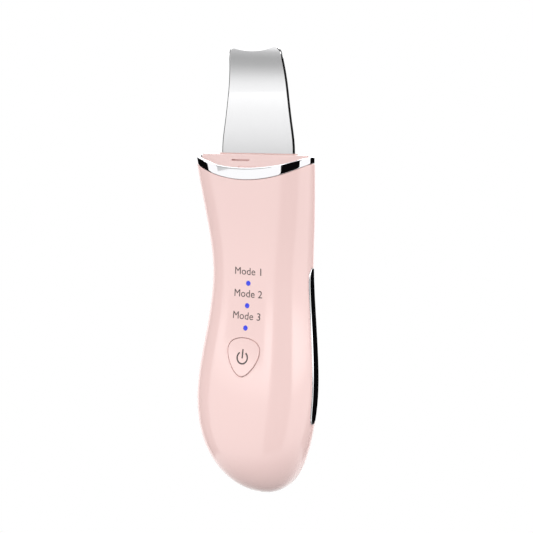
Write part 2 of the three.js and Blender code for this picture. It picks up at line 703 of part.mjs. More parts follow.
// Leaf spring that joins the board's edge to the stud of a side strip.
function contactSpring(side) {
  const y = partingAt(STRIP.studZ);
  const near = BOARD.halfWidth + GAP;
  const far = STUD.from - GAP;
  const outline = polygon([
    [near, BOARD.front + 0.4],
    [near + 0.5, BOARD.front + 0.4],
    [near + 0.5, y - 1.2],
    [far - 0.5, y - 0.5],
    [far, y - 0.5],
    [far, y + 1.2],
    [far - 0.5, y + 1.2],
    [far - 0.5, y],
    [near, y - 0.7],
  ].map(([x, v]) => [side * x, v]));
  return prismZ(outline, [STRIP.studZ - 1.5, STRIP.studZ + 1.5]);
}

// ---------------------------------------------------------------- materials

function finish(color, roughness, metalness) {
  return new THREE.MeshStandardMaterial({ color, roughness, metalness });
}

const pinkPlastic = finish(0xf2d8d4, 0.22, 0);
const chrome = finish(0xe8e8ea, 0.06, 1);
const steel = finish(0xd6d7d9, 0.18, 1);
const blueLens = finish(0x3f5fd8, 0.3, 0);
const silicone = finish(0xe9cfca, 0.6, 0);
const aluminium = finish(0xb9bcc0, 0.35, 1);
const ceramic = finish(0xcfc9b4, 0.5, 0);
const brass = finish(0xc9a45a, 0.3, 1);
const blackRubber = finish(0x1c1c1e, 0.75, 0);
const nylon = finish(0x2b2b2e, 0.5, 0);
const boardGreen = finish(0x1f5a3c, 0.45, 0);
const chipBlack = finish(0x17181a, 0.4, 0);
const cellFoil = finish(0xb4b8be, 0.4, 0.6);
const foam = finish(0x3a3a3c, 0.9, 0);
const redWire = finish(0xb8241f, 0.45, 0);
const blackWire = finish(0x202022, 0.45, 0);
const screwSteel = finish(0x8f9296, 0.3, 1);
const ledWhite = finish(0xe9ecf4, 0.3, 0);

// ---------------------------------------------------------------- assembly

const skinScrubber = new THREE.Group();

function addPiece(name, shape, material) {
  const geometry = shape.isBufferGeometry ? shape : geometryOf(shape);
  geometry.translate(0, 0, -TAIL_FLAT);
  const mesh = new THREE.Mesh(geometry, material);
  mesh.name = name;
  skinScrubber.add(mesh);
}

addPiece('front_casing', frontCasing(), pinkPlastic);
addPiece('rear_casing', rearCasing(), pinkPlastic);
addPiece('rear_screw_cover', rearCover(), pinkPlastic);
addPiece('neck_ring', neckRing(), chrome);
addPiece('head_cap', headCap(), pinkPlastic);
addPiece('blade_seal', bladeSeal(), silicone);
addPiece('side_contact_right', sideStrip(1), chrome);
addPiece('side_contact_left', sideStrip(-1), chrome);

addPiece('blade', blade(), steel);
addPiece('transducer_horn', transducerHorn(), aluminium);
addPiece('piezo_ring_front', hollowDisc(TRANSDUCER_RADIUS, TRANSDUCER_BORE, [106.5, 108.5]), ceramic);
addPiece('electrode_front', electrode([105.8, 106.2], 1), brass);
addPiece('piezo_ring_rear', hollowDisc(TRANSDUCER_RADIUS, TRANSDUCER_BORE, [103.5, 105.5]), ceramic);
addPiece('electrode_rear', electrode([102.8, 103.2], -1), brass);
addPiece('transducer_tail_mass', hollowDisc(TRANSDUCER_RADIUS, 1.5 + GAP, [97.5, 102.5]), steel);
addPiece('transducer_bolt', transducerBolt(), screwSteel);
const sleeve = hollowDisc(TRANSDUCER_RADIUS + SLEEVE, TRANSDUCER_RADIUS + GAP, CLAMP_Z);
addPiece('transducer_sleeve', sleeve, blackRubber);
addPiece('transducer_clamp', transducerClamp(), nylon);
BLADE_SCREW_HEIGHTS.forEach((z, i) => {
  const seat = BLADE_Y - BLADE_THICKNESS / 2 - GAP;
  addPiece(`blade_screw_${i + 1}`, screw(0, z, 3.4, seat, SMALL_SCREW), screwSteel);
});
[-1, 1].forEach((side, i) => {
  const seat = BLADE_Y + 2 + GAP;
  const place = side * CLAMP_SCREW_X;
  addPiece(`clamp_screw_${i + 1}`, screw(place, CLAMP_MIDDLE, -2.9, seat, SMALL_SCREW), screwSteel);
});

addPiece('power_button', powerButton(), pinkPlastic);
LED_HEIGHTS.forEach((z, i) => {
  addPiece(`light_pipe_${i + 1}`, lightPipe(z), blueLens);
  const front = BOARD.front - GAP;
  addPiece(`led_chip_${i + 1}`, box([-1.1, 1.1], [front - 0.8, front], [z - 0.8, z + 0.8]), ledWhite);
});
addPiece('circuit_board', circuitBoard(), boardGreen);
[-1, 1].forEach((side, i) => {
  const seat = BOARD.front + BOARD.thickness + GAP;
  const size = { ...SMALL_SCREW, headHeight: BOARD_SCREW_HEAD };
  addPiece(`board_screw_${i + 1}`, screw(side * BOARD_SCREW.x, BOARD_SCREW.z, -5, seat, size), screwSteel);
});
addPiece('switch_body', switchBody(), nylon);
addPiece('switch_plunger', switchPlunger(), chipBlack);
addPiece('control_chip', box([5, 11], [-GAP - 1.2, -GAP], [72, 78]), chipBlack);
addPiece('boost_transformer', box([-11, -4.5], [-GAP - 3, -GAP], [66, 74]), nylon);
addPiece('filter_capacitor', cylinderZ(1.5, 8, -GAP - 1.5, [61, 69], 16), cellFoil);

addPiece('battery_cell', prismZ(roundedRectangle(-10.5, 10.5, 3.4, 9.0, 1.2), [42, 80]), cellFoil);
addPiece('battery_pad', box([-7, 7], [1.9, 3.1], [58, 78]), foam);
addPiece('contact_spring_right', contactSpring(1), brass);
addPiece('contact_spring_left', contactSpring(-1), brass);

addPiece('usb_socket', usbShell(), steel);
addPiece('usb_tongue', usbTongue(), nylon);
const chargeBoardFront = PORT.y + PORT.halfHeight + GAP;
addPiece('charge_board', box([-6, 6], [chargeBoardFront, 9.4], [7.4, 15]), boardGreen);

// Each red lead runs down the right-hand side, and its black partner is much the same on the left.
const batteryRoute = (side) => [
  [side * 6, 6.4, 80.4],
  [side * 5, 6.6, 82.8],
  [side * 2.4, 4.6, 84],
  [side * 1.5, 2.2, 84],
];
const transducerRoute = (side, startZ, bendZ) => [
  [side * 8.5, BLADE_Y, startZ],
  [side * 9.5, BLADE_Y, bendZ],
  [side * 9.2, 2.6, 95.5],
  [side * 3, 2.4, 90.5],
];
const chargeRoute = (side) => [
  [side * 4.4, 7.4, 15.6],
  [side * 6, 4, 22],
  [side * 11, 1.5, 34],
  [side * 11, 0.6, 45.4],
];
addPiece('battery_lead_red', lead(batteryRoute(1), LEAD_RADIUS), redWire);
addPiece('battery_lead_black', lead(batteryRoute(-1), LEAD_RADIUS), blackWire);
addPiece('transducer_lead_red', lead(transducerRoute(1, 106, 101), LEAD_RADIUS), redWire);
addPiece('transducer_lead_black', lead(transducerRoute(-1, 103, 99), LEAD_RADIUS), blackWire);
addPiece('charge_lead_red', lead(chargeRoute(1), LEAD_RADIUS), redWire);
addPiece('charge_lead_black', lead(chargeRoute(-1), LEAD_RADIUS), blackWire);

CASE_SCREWS.forEach(([x, z], i) => {
  addPiece(`case_screw_${i + 1}`, screw(x, z, CASE_SCREW_TIP, CASE_SCREW_SEAT_Y, CASE_SCREW), screwSteel);
});

export default skinScrubber;
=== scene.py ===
import math

import bmesh
import bpy
import numpy as np
from bpy.props import FloatProperty, FloatVectorProperty, PointerProperty, StringProperty
from mathutils import Matrix, Vector


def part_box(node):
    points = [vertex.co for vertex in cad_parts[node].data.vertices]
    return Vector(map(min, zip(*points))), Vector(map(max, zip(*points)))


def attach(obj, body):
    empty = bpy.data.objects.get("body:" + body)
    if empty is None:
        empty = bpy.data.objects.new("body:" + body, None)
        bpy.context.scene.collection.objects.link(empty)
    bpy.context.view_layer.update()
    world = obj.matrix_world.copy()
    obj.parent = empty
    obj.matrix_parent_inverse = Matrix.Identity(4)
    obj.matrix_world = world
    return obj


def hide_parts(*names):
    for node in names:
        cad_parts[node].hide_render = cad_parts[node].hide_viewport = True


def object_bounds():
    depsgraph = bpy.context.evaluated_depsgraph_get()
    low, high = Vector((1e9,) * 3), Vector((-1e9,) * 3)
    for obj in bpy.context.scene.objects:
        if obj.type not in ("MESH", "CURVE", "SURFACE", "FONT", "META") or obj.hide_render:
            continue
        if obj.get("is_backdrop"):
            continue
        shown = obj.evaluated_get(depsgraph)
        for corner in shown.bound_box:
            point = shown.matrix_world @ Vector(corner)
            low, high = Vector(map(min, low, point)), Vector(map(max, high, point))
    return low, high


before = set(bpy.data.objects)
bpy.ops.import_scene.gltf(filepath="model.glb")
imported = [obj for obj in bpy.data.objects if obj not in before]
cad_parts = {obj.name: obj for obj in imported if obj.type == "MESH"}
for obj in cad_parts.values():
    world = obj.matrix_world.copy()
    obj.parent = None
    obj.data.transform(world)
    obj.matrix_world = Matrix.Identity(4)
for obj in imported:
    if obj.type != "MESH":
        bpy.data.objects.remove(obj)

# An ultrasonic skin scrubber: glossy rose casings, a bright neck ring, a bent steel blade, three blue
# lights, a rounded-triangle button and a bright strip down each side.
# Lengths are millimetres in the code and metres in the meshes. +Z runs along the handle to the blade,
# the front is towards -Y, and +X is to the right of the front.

bl_info = {
    "name": "Ultrasonic skin scrubber",
    "version": (1, 0, 0),
    "blender": (4, 5, 0),
    "location": "3D View > Sidebar > Scrubber",
    "description": "Builds the shells, trims, blade, controls and studio of an ultrasonic skin scrubber",
    "category": "Add Mesh",
}

MM = 0.001
TAIL_FLAT = 1.6  # height at which the round tail is cut flat


def box_mm(node):
    """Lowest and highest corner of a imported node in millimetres, counted from where the tail would close."""
    low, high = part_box(node)
    lift = np.array([0, 0, TAIL_FLAT])
    return np.array(low) / MM + lift, np.array(high) / MM + lift


# ---------------------------------------------------------------- driving dimensions, in millimetres

# Height, half width, height of the widest line in Y, depth in front of it and behind it.
STATIONS = np.array([
    (0, 24.7, 9.1, 16.1, 6.1),
    (20, 25.6, 1.7, 14.9, 10.0),
    (40, 25.2, 1.3, 13.9, 11.3),
    (56, 23.4, 3.6, 13.2, 9.5),
    (72, 21.4, 5.7, 12.3, 7.4),
    (88, 20.5, 5.9, 11.1, 6.9),
    (104, 21.8, 3.8, 10.0, 7.7),
    (120, 23.4, 0.6, 9.1, 8.2),
    (136.5, 24.8, -2.5, 8.1, 8.5),
])
SQUARENESS = 2.4  # superellipse exponent of every cross-section
SIDE_ROUND = 66.6  # height over which the tail closes from full width
DEPTH_ROUND = 26.4  # height over which the tail closes from full depth
BACK_FLAT_Y = box_mm("rear_casing")[1][1]
FLAT_BLEND = 0.6  # how softly the round back runs into its flat

WALL = 1.6
RING_LOW = (121.0, 52.0)  # lowest height and radius of the neck ring's lower edge
RING_HIGH = (125.4, 77.0)

CAP_LOW = box_mm("head_cap")[0][2]
RIDGE_Y, RIDGE_Z = -0.9, box_mm("head_cap")[1][2]
DECK_FOOT = (-7.6, 125.3)  # y and height where the cap's front slope meets the ring
CAP_BACK_Y = 4.6
CAP_REAR_FOOT = (6.5, 125.6)

BLADE_Y = 1.8
BLADE_THICKNESS = 1.2
BLADE_ROOT_Z = 127.0
BLADE_HALF_WIDTHS = ([126, 134, 141, 148, 157, 165.2], [15, 14.9, 13.9, 12.9, 11.8, 10.8])
TIP_CENTRE_Z, TIP_HORN_Z, TIP_HORN_AT, TIP_SHOULDER_Z = 167.2, box_mm("blade")[1][2], 0.76, 164.4
BLADE_BEND, BLADE_BEND_FROM = 2.7, 152.0
BLADE_BEVEL_DROP = 0.14  # how far each face falls away along the long edges
BLADE_HONE_DROP, BLADE_HONE_LENGTH = 0.14, 0.45  # how far each face falls away at the tip, and over what length
BLADE_LARGEST_DROP = 0.46  # both together, so that an edge is left
BLADE_TYPICAL_HALF_WIDTH = 13
TANG_HALF_WIDTH, TANG_Z = 5.0, box_mm("blade")[0][2]

BUTTON_Z = 56.2
BUTTON_TOP, BUTTON_BOTTOM, BUTTON_HALF_WIDTH, BUTTON_CORNER = 6.8, -7.0, 6.6, 2.3
LIGHT_HEIGHTS = [float(sum(box_mm(f"light_pipe_{i}"))[2] / 2) for i in (1, 2, 3)]
STRIP_LOW, STRIP_HIGH = box_mm("side_contact_right")[0][2], box_mm("side_contact_right")[1][2]
STRIP_HALF_WIDTH = 2.6
COVER_LOW, COVER_HIGH = box_mm("rear_screw_cover")
PORT_LOW, PORT_HIGH = box_mm("usb_socket")


# ---------------------------------------------------------------- settings a user would change


def linear(code):
    """Linear colour, with alpha, of an sRGB hex value such as #F2D8D4."""
    parts = [int(code[i:i + 2], 16) / 255 for i in (1, 3, 5)]
    return tuple(p / 12.92 if p <= 0.04045 else ((p + 0.055) / 1.055) ** 2.4 for p in parts) + (1.0,)


def colour_setting(name, description, code):
    return FloatVectorProperty(
        name=name, description=description, subtype="COLOR", size=4, min=0, max=1, default=linear(code))


def length_setting(name, description, millimetres):
    return FloatProperty(
        name=name, description=description, unit="LENGTH", subtype="DISTANCE", min=0,
        precision=5, default=millimetres * MM)


class ScrubberColours(bpy.types.PropertyGroup):
    """Colours of the pieces that show."""

    casing: colour_setting("Casing", "Colour of the moulded casings, cap and button", "#F0D1CD")
    ink: colour_setting("Print", "Colour of the printed marks", "#4A4240")
    light: colour_setting("Lights", "Colour of the status lights", "#2F3FE0")
    chrome: colour_setting("Plating", "Colour of the plated ring and strips", "#F2F2F4")
    steel: colour_setting("Blade", "Colour of the polished blade", "#EDEDEE")
    seal: colour_setting("Seal", "Colour of the rubber round the blade", "#D9B2AC")


class ScrubberSizes(bpy.types.PropertyGroup):
    """Small sizes that only the looks depend on."""

    seam: length_setting("Seam", "Clear gap between two casings or between casing and ring", 0.12)
    button_gap: length_setting("Button gap", "Clear gap round the button", 0.26)
    edge: length_setting("Edge", "Rounding of the casings' moulded edges", 0.18)
    ring_lip: length_setting("Ring lip", "Rounding of the neck ring's upper lip", 0.3)
    blade_bevel: length_setting("Blade bevel", "Width of the bevel along the blade's long edges", 0.35)
    mark_height: length_setting("Mark height", "Height of the printed capitals", 2.8)
    mark_stroke: length_setting("Symbol stroke", "Width of the power symbol's line", 0.55)


class StudioSettings(bpy.types.PropertyGroup):
    """Camera and light of the studio."""

    distance: length_setting("Camera distance", "Distance from the camera to the handle's axis", 400)
    turn: FloatProperty(
        name="Camera turn", description="How far the camera stands to the right of the front",
        subtype="ANGLE", unit="ROTATION", default=math.radians(30))
    rise: FloatProperty(
        name="Camera rise", description="How far the camera looks down",
        subtype="ANGLE", unit="ROTATION", default=math.radians(8))
    lens: FloatProperty(
        name="Lens", description="Focal length of the camera, in millimetres",
        subtype="DISTANCE_CAMERA", default=73.02)
    soft: FloatProperty(name="Soft light", description="Strength of the soft light from all round", default=1.0)
    backdrop: StringProperty(name="Backdrop", description="Hex colour of the floor", default="#FFFFFF")


def settings():
    scene = bpy.context.scene
    return scene.scrubber_colours, scene.scrubber_sizes, scene.scrubber_studio


def setting_mm(name):
    """A length setting, in millimetres."""
    return getattr(bpy.context.scene.scrubber_sizes, name) / MM


# ---------------------------------------------------------------- the handle's form


def spline(xs, ys):
    """Natural cubic spline through the points, as a function of numbers or arrays."""
    xs, ys = np.asarray(xs, float), np.asarray(ys, float)
    steps = np.diff(xs)
    system, slope_change = np.eye(len(xs)), np.zeros(len(xs))
    for i in range(1, len(xs) - 1):
        system[i, i - 1:i + 2] = steps[i - 1], 2 * (steps[i - 1] + steps[i]), steps[i]
        slope_change[i] = 6 * ((ys[i + 1] - ys[i]) / steps[i] - (ys[i] - ys[i - 1]) / steps[i - 1])
    second = np.linalg.solve(system, slope_change)

    def value(x):
        x = np.asarray(x, float)
        i = np.clip(np.searchsorted(xs, x) - 1, 0, len(xs) - 2)
        a = (xs[i + 1] - x) / steps[i]
        b = 1 - a
        bend = ((a ** 3 - a) * second[i] + (b ** 3 - b) * second[i + 1]) * steps[i] ** 2 / 6
        return a * ys[i] + b * ys[i + 1] + bend

    return value


half_width, parting, front_depth, rear_depth = [spline(STATIONS[:, 0], STATIONS[:, k]) for k in (1, 2, 3, 4)]
blade_half_width = spline(*BLADE_HALF_WIDTHS)


def opened(z, over):
    """How far the tail has opened at height z: 0 at its tip, 1 from the height `over` upwards."""
    return np.sqrt(1 - np.clip((over - z) / over, 0, 1) ** 3)


def flat_backed(y, inset):
    """The back stays flat where the section would bulge past it, with a soft run-in."""
    limit = BACK_FLAT_Y - inset
    spare = limit - y
    soft = limit - (np.clip(spare, -FLAT_BLEND, FLAT_BLEND) + FLAT_BLEND) ** 2 / (4 * FLAT_BLEND)
    return np.where(spare > FLAT_BLEND, y, soft)


def reach(z, inset):
    """Half width, front depth and rear depth of the section at height z, `inset` inside the surface."""
    width = half_width(z) * opened(z, SIDE_ROUND) - inset
    ahead = front_depth(z) * opened(z, DEPTH_ROUND) - inset
    behind = rear_depth(z) * opened(z, DEPTH_ROUND) - inset
    return width, ahead, behind


def surface_point(z, angle, inset=0.0):
    """Points of the handle's surface. Angle 0 is +X, half a turn is -X, and the front is past half a turn."""
    c, s = np.cos(angle), np.sin(angle)
    width, ahead, behind = reach(z, inset)
    power = 2 / SQUARENESS
    x = np.sign(c) * np.abs(c) ** power * np.maximum(width, 0)
    y = parting(z) + np.sign(s) * np.abs(s) ** power * np.maximum(np.where(s < 0, ahead, behind), 0)
    return np.stack(np.broadcast_arrays(x, flat_backed(y, inset), z), -1)


def front_y(x, z, inset=0.0):
    width, ahead, _ = reach(z, inset)
    share = np.clip(1 - np.abs(x / width) ** SQUARENESS, 0, 1) ** (1 / SQUARENESS)
    return parting(z) - ahead * share


def rear_y(x, z, inset=0.0):
    width, _, behind = reach(z, inset)
    share = np.clip(1 - np.abs(x / width) ** SQUARENESS, 0, 1) ** (1 / SQUARENESS)
    return flat_backed(parting(z) + behind * share, inset)


def side_x(y, z, inset=0.0):
    """Distance of the surface from the YZ plane at a given y and height."""
    width, ahead, behind = reach(z, inset)
    offset = y - parting(z)
    share = np.clip(1 - np.abs(offset / np.where(offset < 0, ahead, behind)) ** SQUARENESS, 0, 1)
    return width * share ** (1 / SQUARENESS)


def arc_height(x, edge):
    """Height of one edge of the neck ring, an arc that dips in the middle."""
    low, radius = edge
    return low + radius - np.sqrt(radius ** 2 - x ** 2)


def rounding(distance, radius):
    """How far a rounded edge lies inside the surface at this distance from the edge."""
    d = np.clip(distance / radius, 0, 1)
    return radius * (1 - np.sqrt(1 - (1 - d) ** 2))


# ---------------------------------------------------------------- mesh making


def grid_faces(rows, columns, first=0, wrap_rows=False, wrap_columns=False):
    index = first + np.arange(rows * columns).reshape(rows, columns)
    if wrap_columns:
        index = np.hstack([index, index[:, :1]])
    if wrap_rows:
        index = np.vstack([index, index[:1]])
    corners = index[:-1, :-1], index[:-1, 1:], index[1:, 1:], index[1:, :-1]
    return np.stack(corners, -1).reshape(-1, 4).tolist()


def strip_faces(first, second):
    """Faces that join two rows of vertex numbers."""
    return [[first[i], first[i + 1], second[i + 1], second[i]] for i in range(len(first) - 1)]


def new_piece(name, points, faces, material=None, crease=35):
    """Closed mesh from points in millimetres, with its faces turned out and its real edges kept sharp."""
    mesh = bpy.data.meshes.new(name)
    mesh.from_pydata((np.asarray(points, float).reshape(-1, 3) * MM).tolist(), [], faces)
    tidy_mesh(mesh)
    piece = bpy.data.objects.new(name, mesh)
    bpy.context.scene.collection.objects.link(piece)
    if material:
        mesh.materials.append(material)
    shade(piece, crease)
    return piece


def tidy_mesh(mesh):
    bm = bmesh.new()
    bm.from_mesh(mesh)
    bmesh.ops.remove_doubles(bm, verts=bm.verts, dist=2e-3 * MM)
    bmesh.ops.dissolve_degenerate(bm, edges=bm.edges, dist=1e-4 * MM)
    bmesh.ops.recalc_face_normals(bm, faces=bm.faces)
    bm.to_mesh(mesh)
    bm.free()


def shade(piece, crease=35):
    piece.data.shade_smooth()
    piece.data.set_sharp_from_angle(angle=math.radians(crease))


def closed_sheet(name, outside, inside, material=None, crease=35):
    """Closed shell between two grids of points of the same size, joined round their borders."""
    rows, columns = outside.shape[:2]
    count = rows * columns
    faces = grid_faces(rows, columns) + grid_faces(rows, columns, count)
    index = np.arange(count).reshape(rows, columns)
    for border in (index[0], index[-1], index[:, 0], index[:, -1]):
        faces += strip_faces(border.tolist(), (border + count).tolist())
    points = np.concatenate([outside.reshape(-1, 3), inside.reshape(-1, 3)])
    return new_piece(name, points, faces, material, crease)


def lofted(name, loops, material=None, ring=False, crease=35):
    """Skin through closed loops of points: a ring when the last loop joins the first, else capped."""
    loops = np.asarray(loops, float)
    rows, columns = loops.shape[:2]
    faces = grid_faces(rows, columns, wrap_rows=ring, wrap_columns=True)
    points = loops.reshape(-1, 3)
    if not ring:
        centres = [loops[0].mean(0), loops[-1].mean(0)]
        for k, row in enumerate((0, rows - 1)):
            centre, start = rows * columns + k, row * columns
            faces += [[centre, start + j, start + (j + 1) % columns] for j in range(columns)]
        points = np.concatenate([points, centres])
    return new_piece(name, points, faces, material, crease)


def apply_boolean(target, tools, operation="DIFFERENCE"):
    """Cuts the tools out of the target, or joins them to it, and removes the tools."""
    for tool in tools:
        modifier = target.modifiers.new("boolean", "BOOLEAN")
        modifier.operation = operation
        modifier.solver = "EXACT"
        modifier.object = tool
    evaluated = target.evaluated_get(bpy.context.evaluated_depsgraph_get())
    result = bpy.data.meshes.new_from_object(evaluated)
    target.modifiers.clear()
    target.data = result
    for tool in tools:
        bpy.data.objects.remove(tool)
    tidy_mesh(result)
    shade(target)
    if not len(result.polygons):
        raise RuntimeError(f"nothing is left of {target.name} after its boolean")


def joined(name, pieces):
    """One object from several separate closed meshes, each of one material at most."""
    bm = bmesh.new()
    materials = []
    for piece in pieces:
        own = piece.data.materials[0] if piece.data.materials else None
        if own and own not in materials:
            materials.append(own)
        done = len(bm.faces)
        bm.from_mesh(piece.data)
        bm.faces.ensure_lookup_table()
        for face in bm.faces[done:]:
            face.material_index = materials.index(own) if own else 0
    mesh = bpy.data.meshes.new(name)
    bm.to_mesh(mesh)
    bm.free()
    for material in materials:
        mesh.materials.append(material)
    whole = bpy.data.objects.new(name, mesh)
    bpy.context.scene.collection.objects.link(whole)
    for piece in pieces:
        bpy.data.objects.remove(piece)
    shade(whole)
    return whole


def slot_outline(half_length, half_height, arc_steps=24):
    """Slot with half-round ends about the origin, and the outward direction at each point."""
    arm = half_length - half_height
    turn = np.concatenate([
        np.linspace(-math.pi / 2, math.pi / 2, arc_steps),
        np.linspace(math.pi / 2, 3 * math.pi / 2, arc_steps),
    ])
    side = np.repeat([1.0, -1.0], arc_steps)
    outward = np.stack([np.cos(turn), np.sin(turn)], -1)
    return np.stack([side * arm, np.zeros_like(side)], -1) + outward * half_height, outward


def rounded_rectangle(half_u, half_v, radius, arc_steps=10):
    """Rounded rectangle about the origin as closed points, and the outward direction at each point."""
    points, outward = [], []
    corners = [(1, -1, -0.5), (1, 1, 0.0), (-1, 1, 0.5), (-1, -1, 1.0)]
    for u, v, start in corners:
        for turn in np.linspace(start * math.pi, (start + 0.5) * math.pi, arc_steps):
            direction = np.array([math.cos(turn), math.sin(turn)])
            outward.append(direction)
            points.append(np.array([u * (half_u - radius), v * (half_v - radius)]) + radius * direction)
    return np.array(points), np.array(outward)


def divided(points, outward, longest):
    """The same closed outline with its straight stretches divided."""
    new_points, new_outward = [], []
    for i, point in enumerate(points):
        j = (i + 1) % len(points)
        count = max(1, math.ceil(np.linalg.norm(points[j] - point) / longest))
        for t in np.arange(count) / count:
            direction = outward[i] * (1 - t) + outward[j] * t
            new_points.append(point * (1 - t) + points[j] * t)
            new_outward.append(direction / np.linalg.norm(direction))
    return np.array(new_points), np.array(new_outward)


def finish_piece(piece, body, slot_name, *nodes):
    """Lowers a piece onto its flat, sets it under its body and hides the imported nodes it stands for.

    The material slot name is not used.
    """
    piece.data.transform(Matrix.Translation((0, 0, -TAIL_FLAT * MM)))
    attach(piece, body)
    if nodes:
        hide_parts(*nodes)


# ---------------------------------------------------------------- materials


def add_node(tree, kind, inputs=(), **properties):
    """Adds a shader node, sets its properties, and fills its inputs with values or other outputs."""
    node = tree.nodes.new(kind)
    for key, value in properties.items():
        setattr(node, key, value)
    for socket, value in dict(inputs).items():
        if isinstance(value, bpy.types.NodeSocket):
            tree.links.new(value, node.inputs[socket])
        else:
            node.inputs[socket].default_value = value
    return node


def mixed(first, second, share):
    """Colour part of the way from the first to the second."""
    return tuple(a + (b - a) * share for a, b in zip(first, second))


def base_material(
        name, colour, roughness, grain_mm, depth_mm, shift=0.03, spread=0.05, stretch=(1, 1, 1), **sockets):
    """Principled surface whose colour, roughness and height vary with a grain of a real size.

    `shift` is how much darker the colour grows in random patches fourteen grains across, `spread` how far the
    roughness wanders, and `stretch` draws the grain out along an axis, as a grinding belt does."""
    material = bpy.data.materials.new(name)
    material.use_nodes = True
    tree = material.node_tree
    tree.nodes.clear()
    place = add_node(tree, "ShaderNodeTexCoord").outputs["Object"]
    drawn = add_node(tree, "ShaderNodeMapping", {"Vector": place, "Scale": stretch}).outputs["Vector"]
    grain = add_node(
        tree, "ShaderNodeTexNoise", {"Vector": drawn, "Scale": 1 / (grain_mm * MM), "Detail": 3.0}).outputs["Fac"]
    cloud_mm = 14 * grain_mm
    cloud = add_node(
        tree, "ShaderNodeTexNoise", {"Vector": place, "Scale": 1 / (cloud_mm * MM), "Detail": 1.0}).outputs["Fac"]
    dark = mixed(colour, (0, 0, 0, 1), shift)
    tone = add_node(tree, "ShaderNodeMix", {"Factor": cloud, 6: colour, 7: dark}, data_type="RGBA").outputs[2]
    rough = add_node(tree, "ShaderNodeMapRange", {
        "Value": grain, "To Min": roughness * (1 - spread), "To Max": roughness * (1 + spread)}).outputs["Result"]
    bump = add_node(tree, "ShaderNodeBump", {
        "Height": grain, "Strength": 1.0, "Distance": depth_mm * MM}).outputs["Normal"]
    shader = add_node(tree, "ShaderNodeBsdfPrincipled", {
        "Base Color": tone, "Roughness": rough, "Normal": bump, **sockets})
    add_node(tree, "ShaderNodeOutputMaterial", {"Surface": shader.outputs["BSDF"]})
    return material


def moulded_gloss_abs(colour):
    # ABS moulded in a mirror-polished tool: even rose colour, a tight clear gloss, the faintest ripple.
    return base_material(
        "gloss_moulded_abs", colour, 0.16, grain_mm=2.5, depth_mm=0.0008, shift=0.015, spread=0.12,
        **{"IOR": 1.5, "Coat Weight": 0.25, "Coat Roughness": 0.04})


def chrome_plated_abs(colour):
    # Bright chrome over polished ABS: a hard mirror that shows the studio as black and white bands.
    return base_material(
        "chrome_plated_abs", colour, 0.035, grain_mm=1.2, depth_mm=0.0002, shift=0.01, **{"Metallic": 1.0})


def polished_blade_steel(colour):
    # 304 stainless, belt ground along its length and then buffed: soft mirror with a trace of the grain.
    return base_material(
        "polished_blade_steel", colour, 0.1, grain_mm=0.35, depth_mm=0.0004, shift=0.02, spread=0.2,
        stretch=(1, 1, 0.04), **{"Metallic": 1.0, "Anisotropic": 0.3})


def moulded_silicone(colour):
    # Silicone rubber moulded in a fine-blasted tool: soft sheen and a skin-like matt.
    return base_material(
        "moulded_silicone", colour, 0.55, grain_mm=0.3, depth_mm=0.004, **{"Sheen Weight": 0.2, "IOR": 1.41})


def lit_light_pipe(colour):
    # Acrylic light pipe with a lit chip behind it: saturated blue with a clear domed gloss.
    material = base_material(
        "lit_acrylic_light_pipe", colour, 0.12, grain_mm=0.25, depth_mm=0.001, shift=0.15,
        **{"IOR": 1.49, "Emission Strength": 0.12, "Coat Weight": 0.6, "Coat Roughness": 0.03})
    shader = next(n for n in material.node_tree.nodes if n.type == "BSDF_PRINCIPLED")
    shader.inputs["Emission Color"].default_value = colour
    return material


def pad_print_ink(colour):
    # Two-part ink laid on by a silicone pad: thin, even and a little less glossy than the plastic.
    return base_material("pad_print_ink", colour, 0.4, grain_mm=0.12, depth_mm=0.0015, shift=0.12)


def white_epoxy():
    # LED package cast in white epoxy with a dull moulded face.
    return base_material("white_led_epoxy", linear("#E9ECF2"), 0.35, grain_mm=0.2, depth_mm=0.003)


def turned_metal(name, code, roughness):
    # Bar turned on a lathe: fine rings a fifth of a millimetre apart, which catch the light as lines.
    return base_material(
        name, linear(code), roughness, grain_mm=1.6, depth_mm=0.006, spread=0.2, stretch=(0.1, 0.1, 8),
        **{"Metallic": 1.0})


def fired_ceramic():
    # Piezo ceramic, pressed and fired: chalky cream with a slightly grainy face.
    return base_material("fired_piezo_ceramic", linear("#CFC8B2"), 0.6, grain_mm=0.15, depth_mm=0.006, shift=0.1)


def stamped_brass():
    # Thin rolled brass, stamped: warm, with rolling lines along the sheet.
    return base_material(
        "stamped_rolled_brass", linear("#D2AE62"), 0.28, grain_mm=0.5, depth_mm=0.002, spread=0.25,
        stretch=(1, 0.1, 1), **{"Metallic": 1.0})


def zinc_plated_steel():
    # Small screws, zinc plated over steel: greyish, with a mottled bright plating.
    return base_material(
        "zinc_plated_steel", linear("#B4B8BC"), 0.32, grain_mm=0.3, depth_mm=0.003, shift=0.12,
        **{"Metallic": 1.0})


def stainless_shell():
    # Deep-drawn stainless shell of a socket: satin, with drawing lines along it.
    return base_material(
        "drawn_stainless_shell", linear("#C9CACC"), 0.26, grain_mm=0.3, depth_mm=0.002, stretch=(1, 1, 0.1),
        **{"Metallic": 1.0})


def black_moulding(name, code, roughness):
    # Glass-filled nylon or rubber from a spark-eroded tool: dull black with a fine even texture.
    return base_material(name, linear(code), roughness, grain_mm=0.25, depth_mm=0.01, shift=0.2)


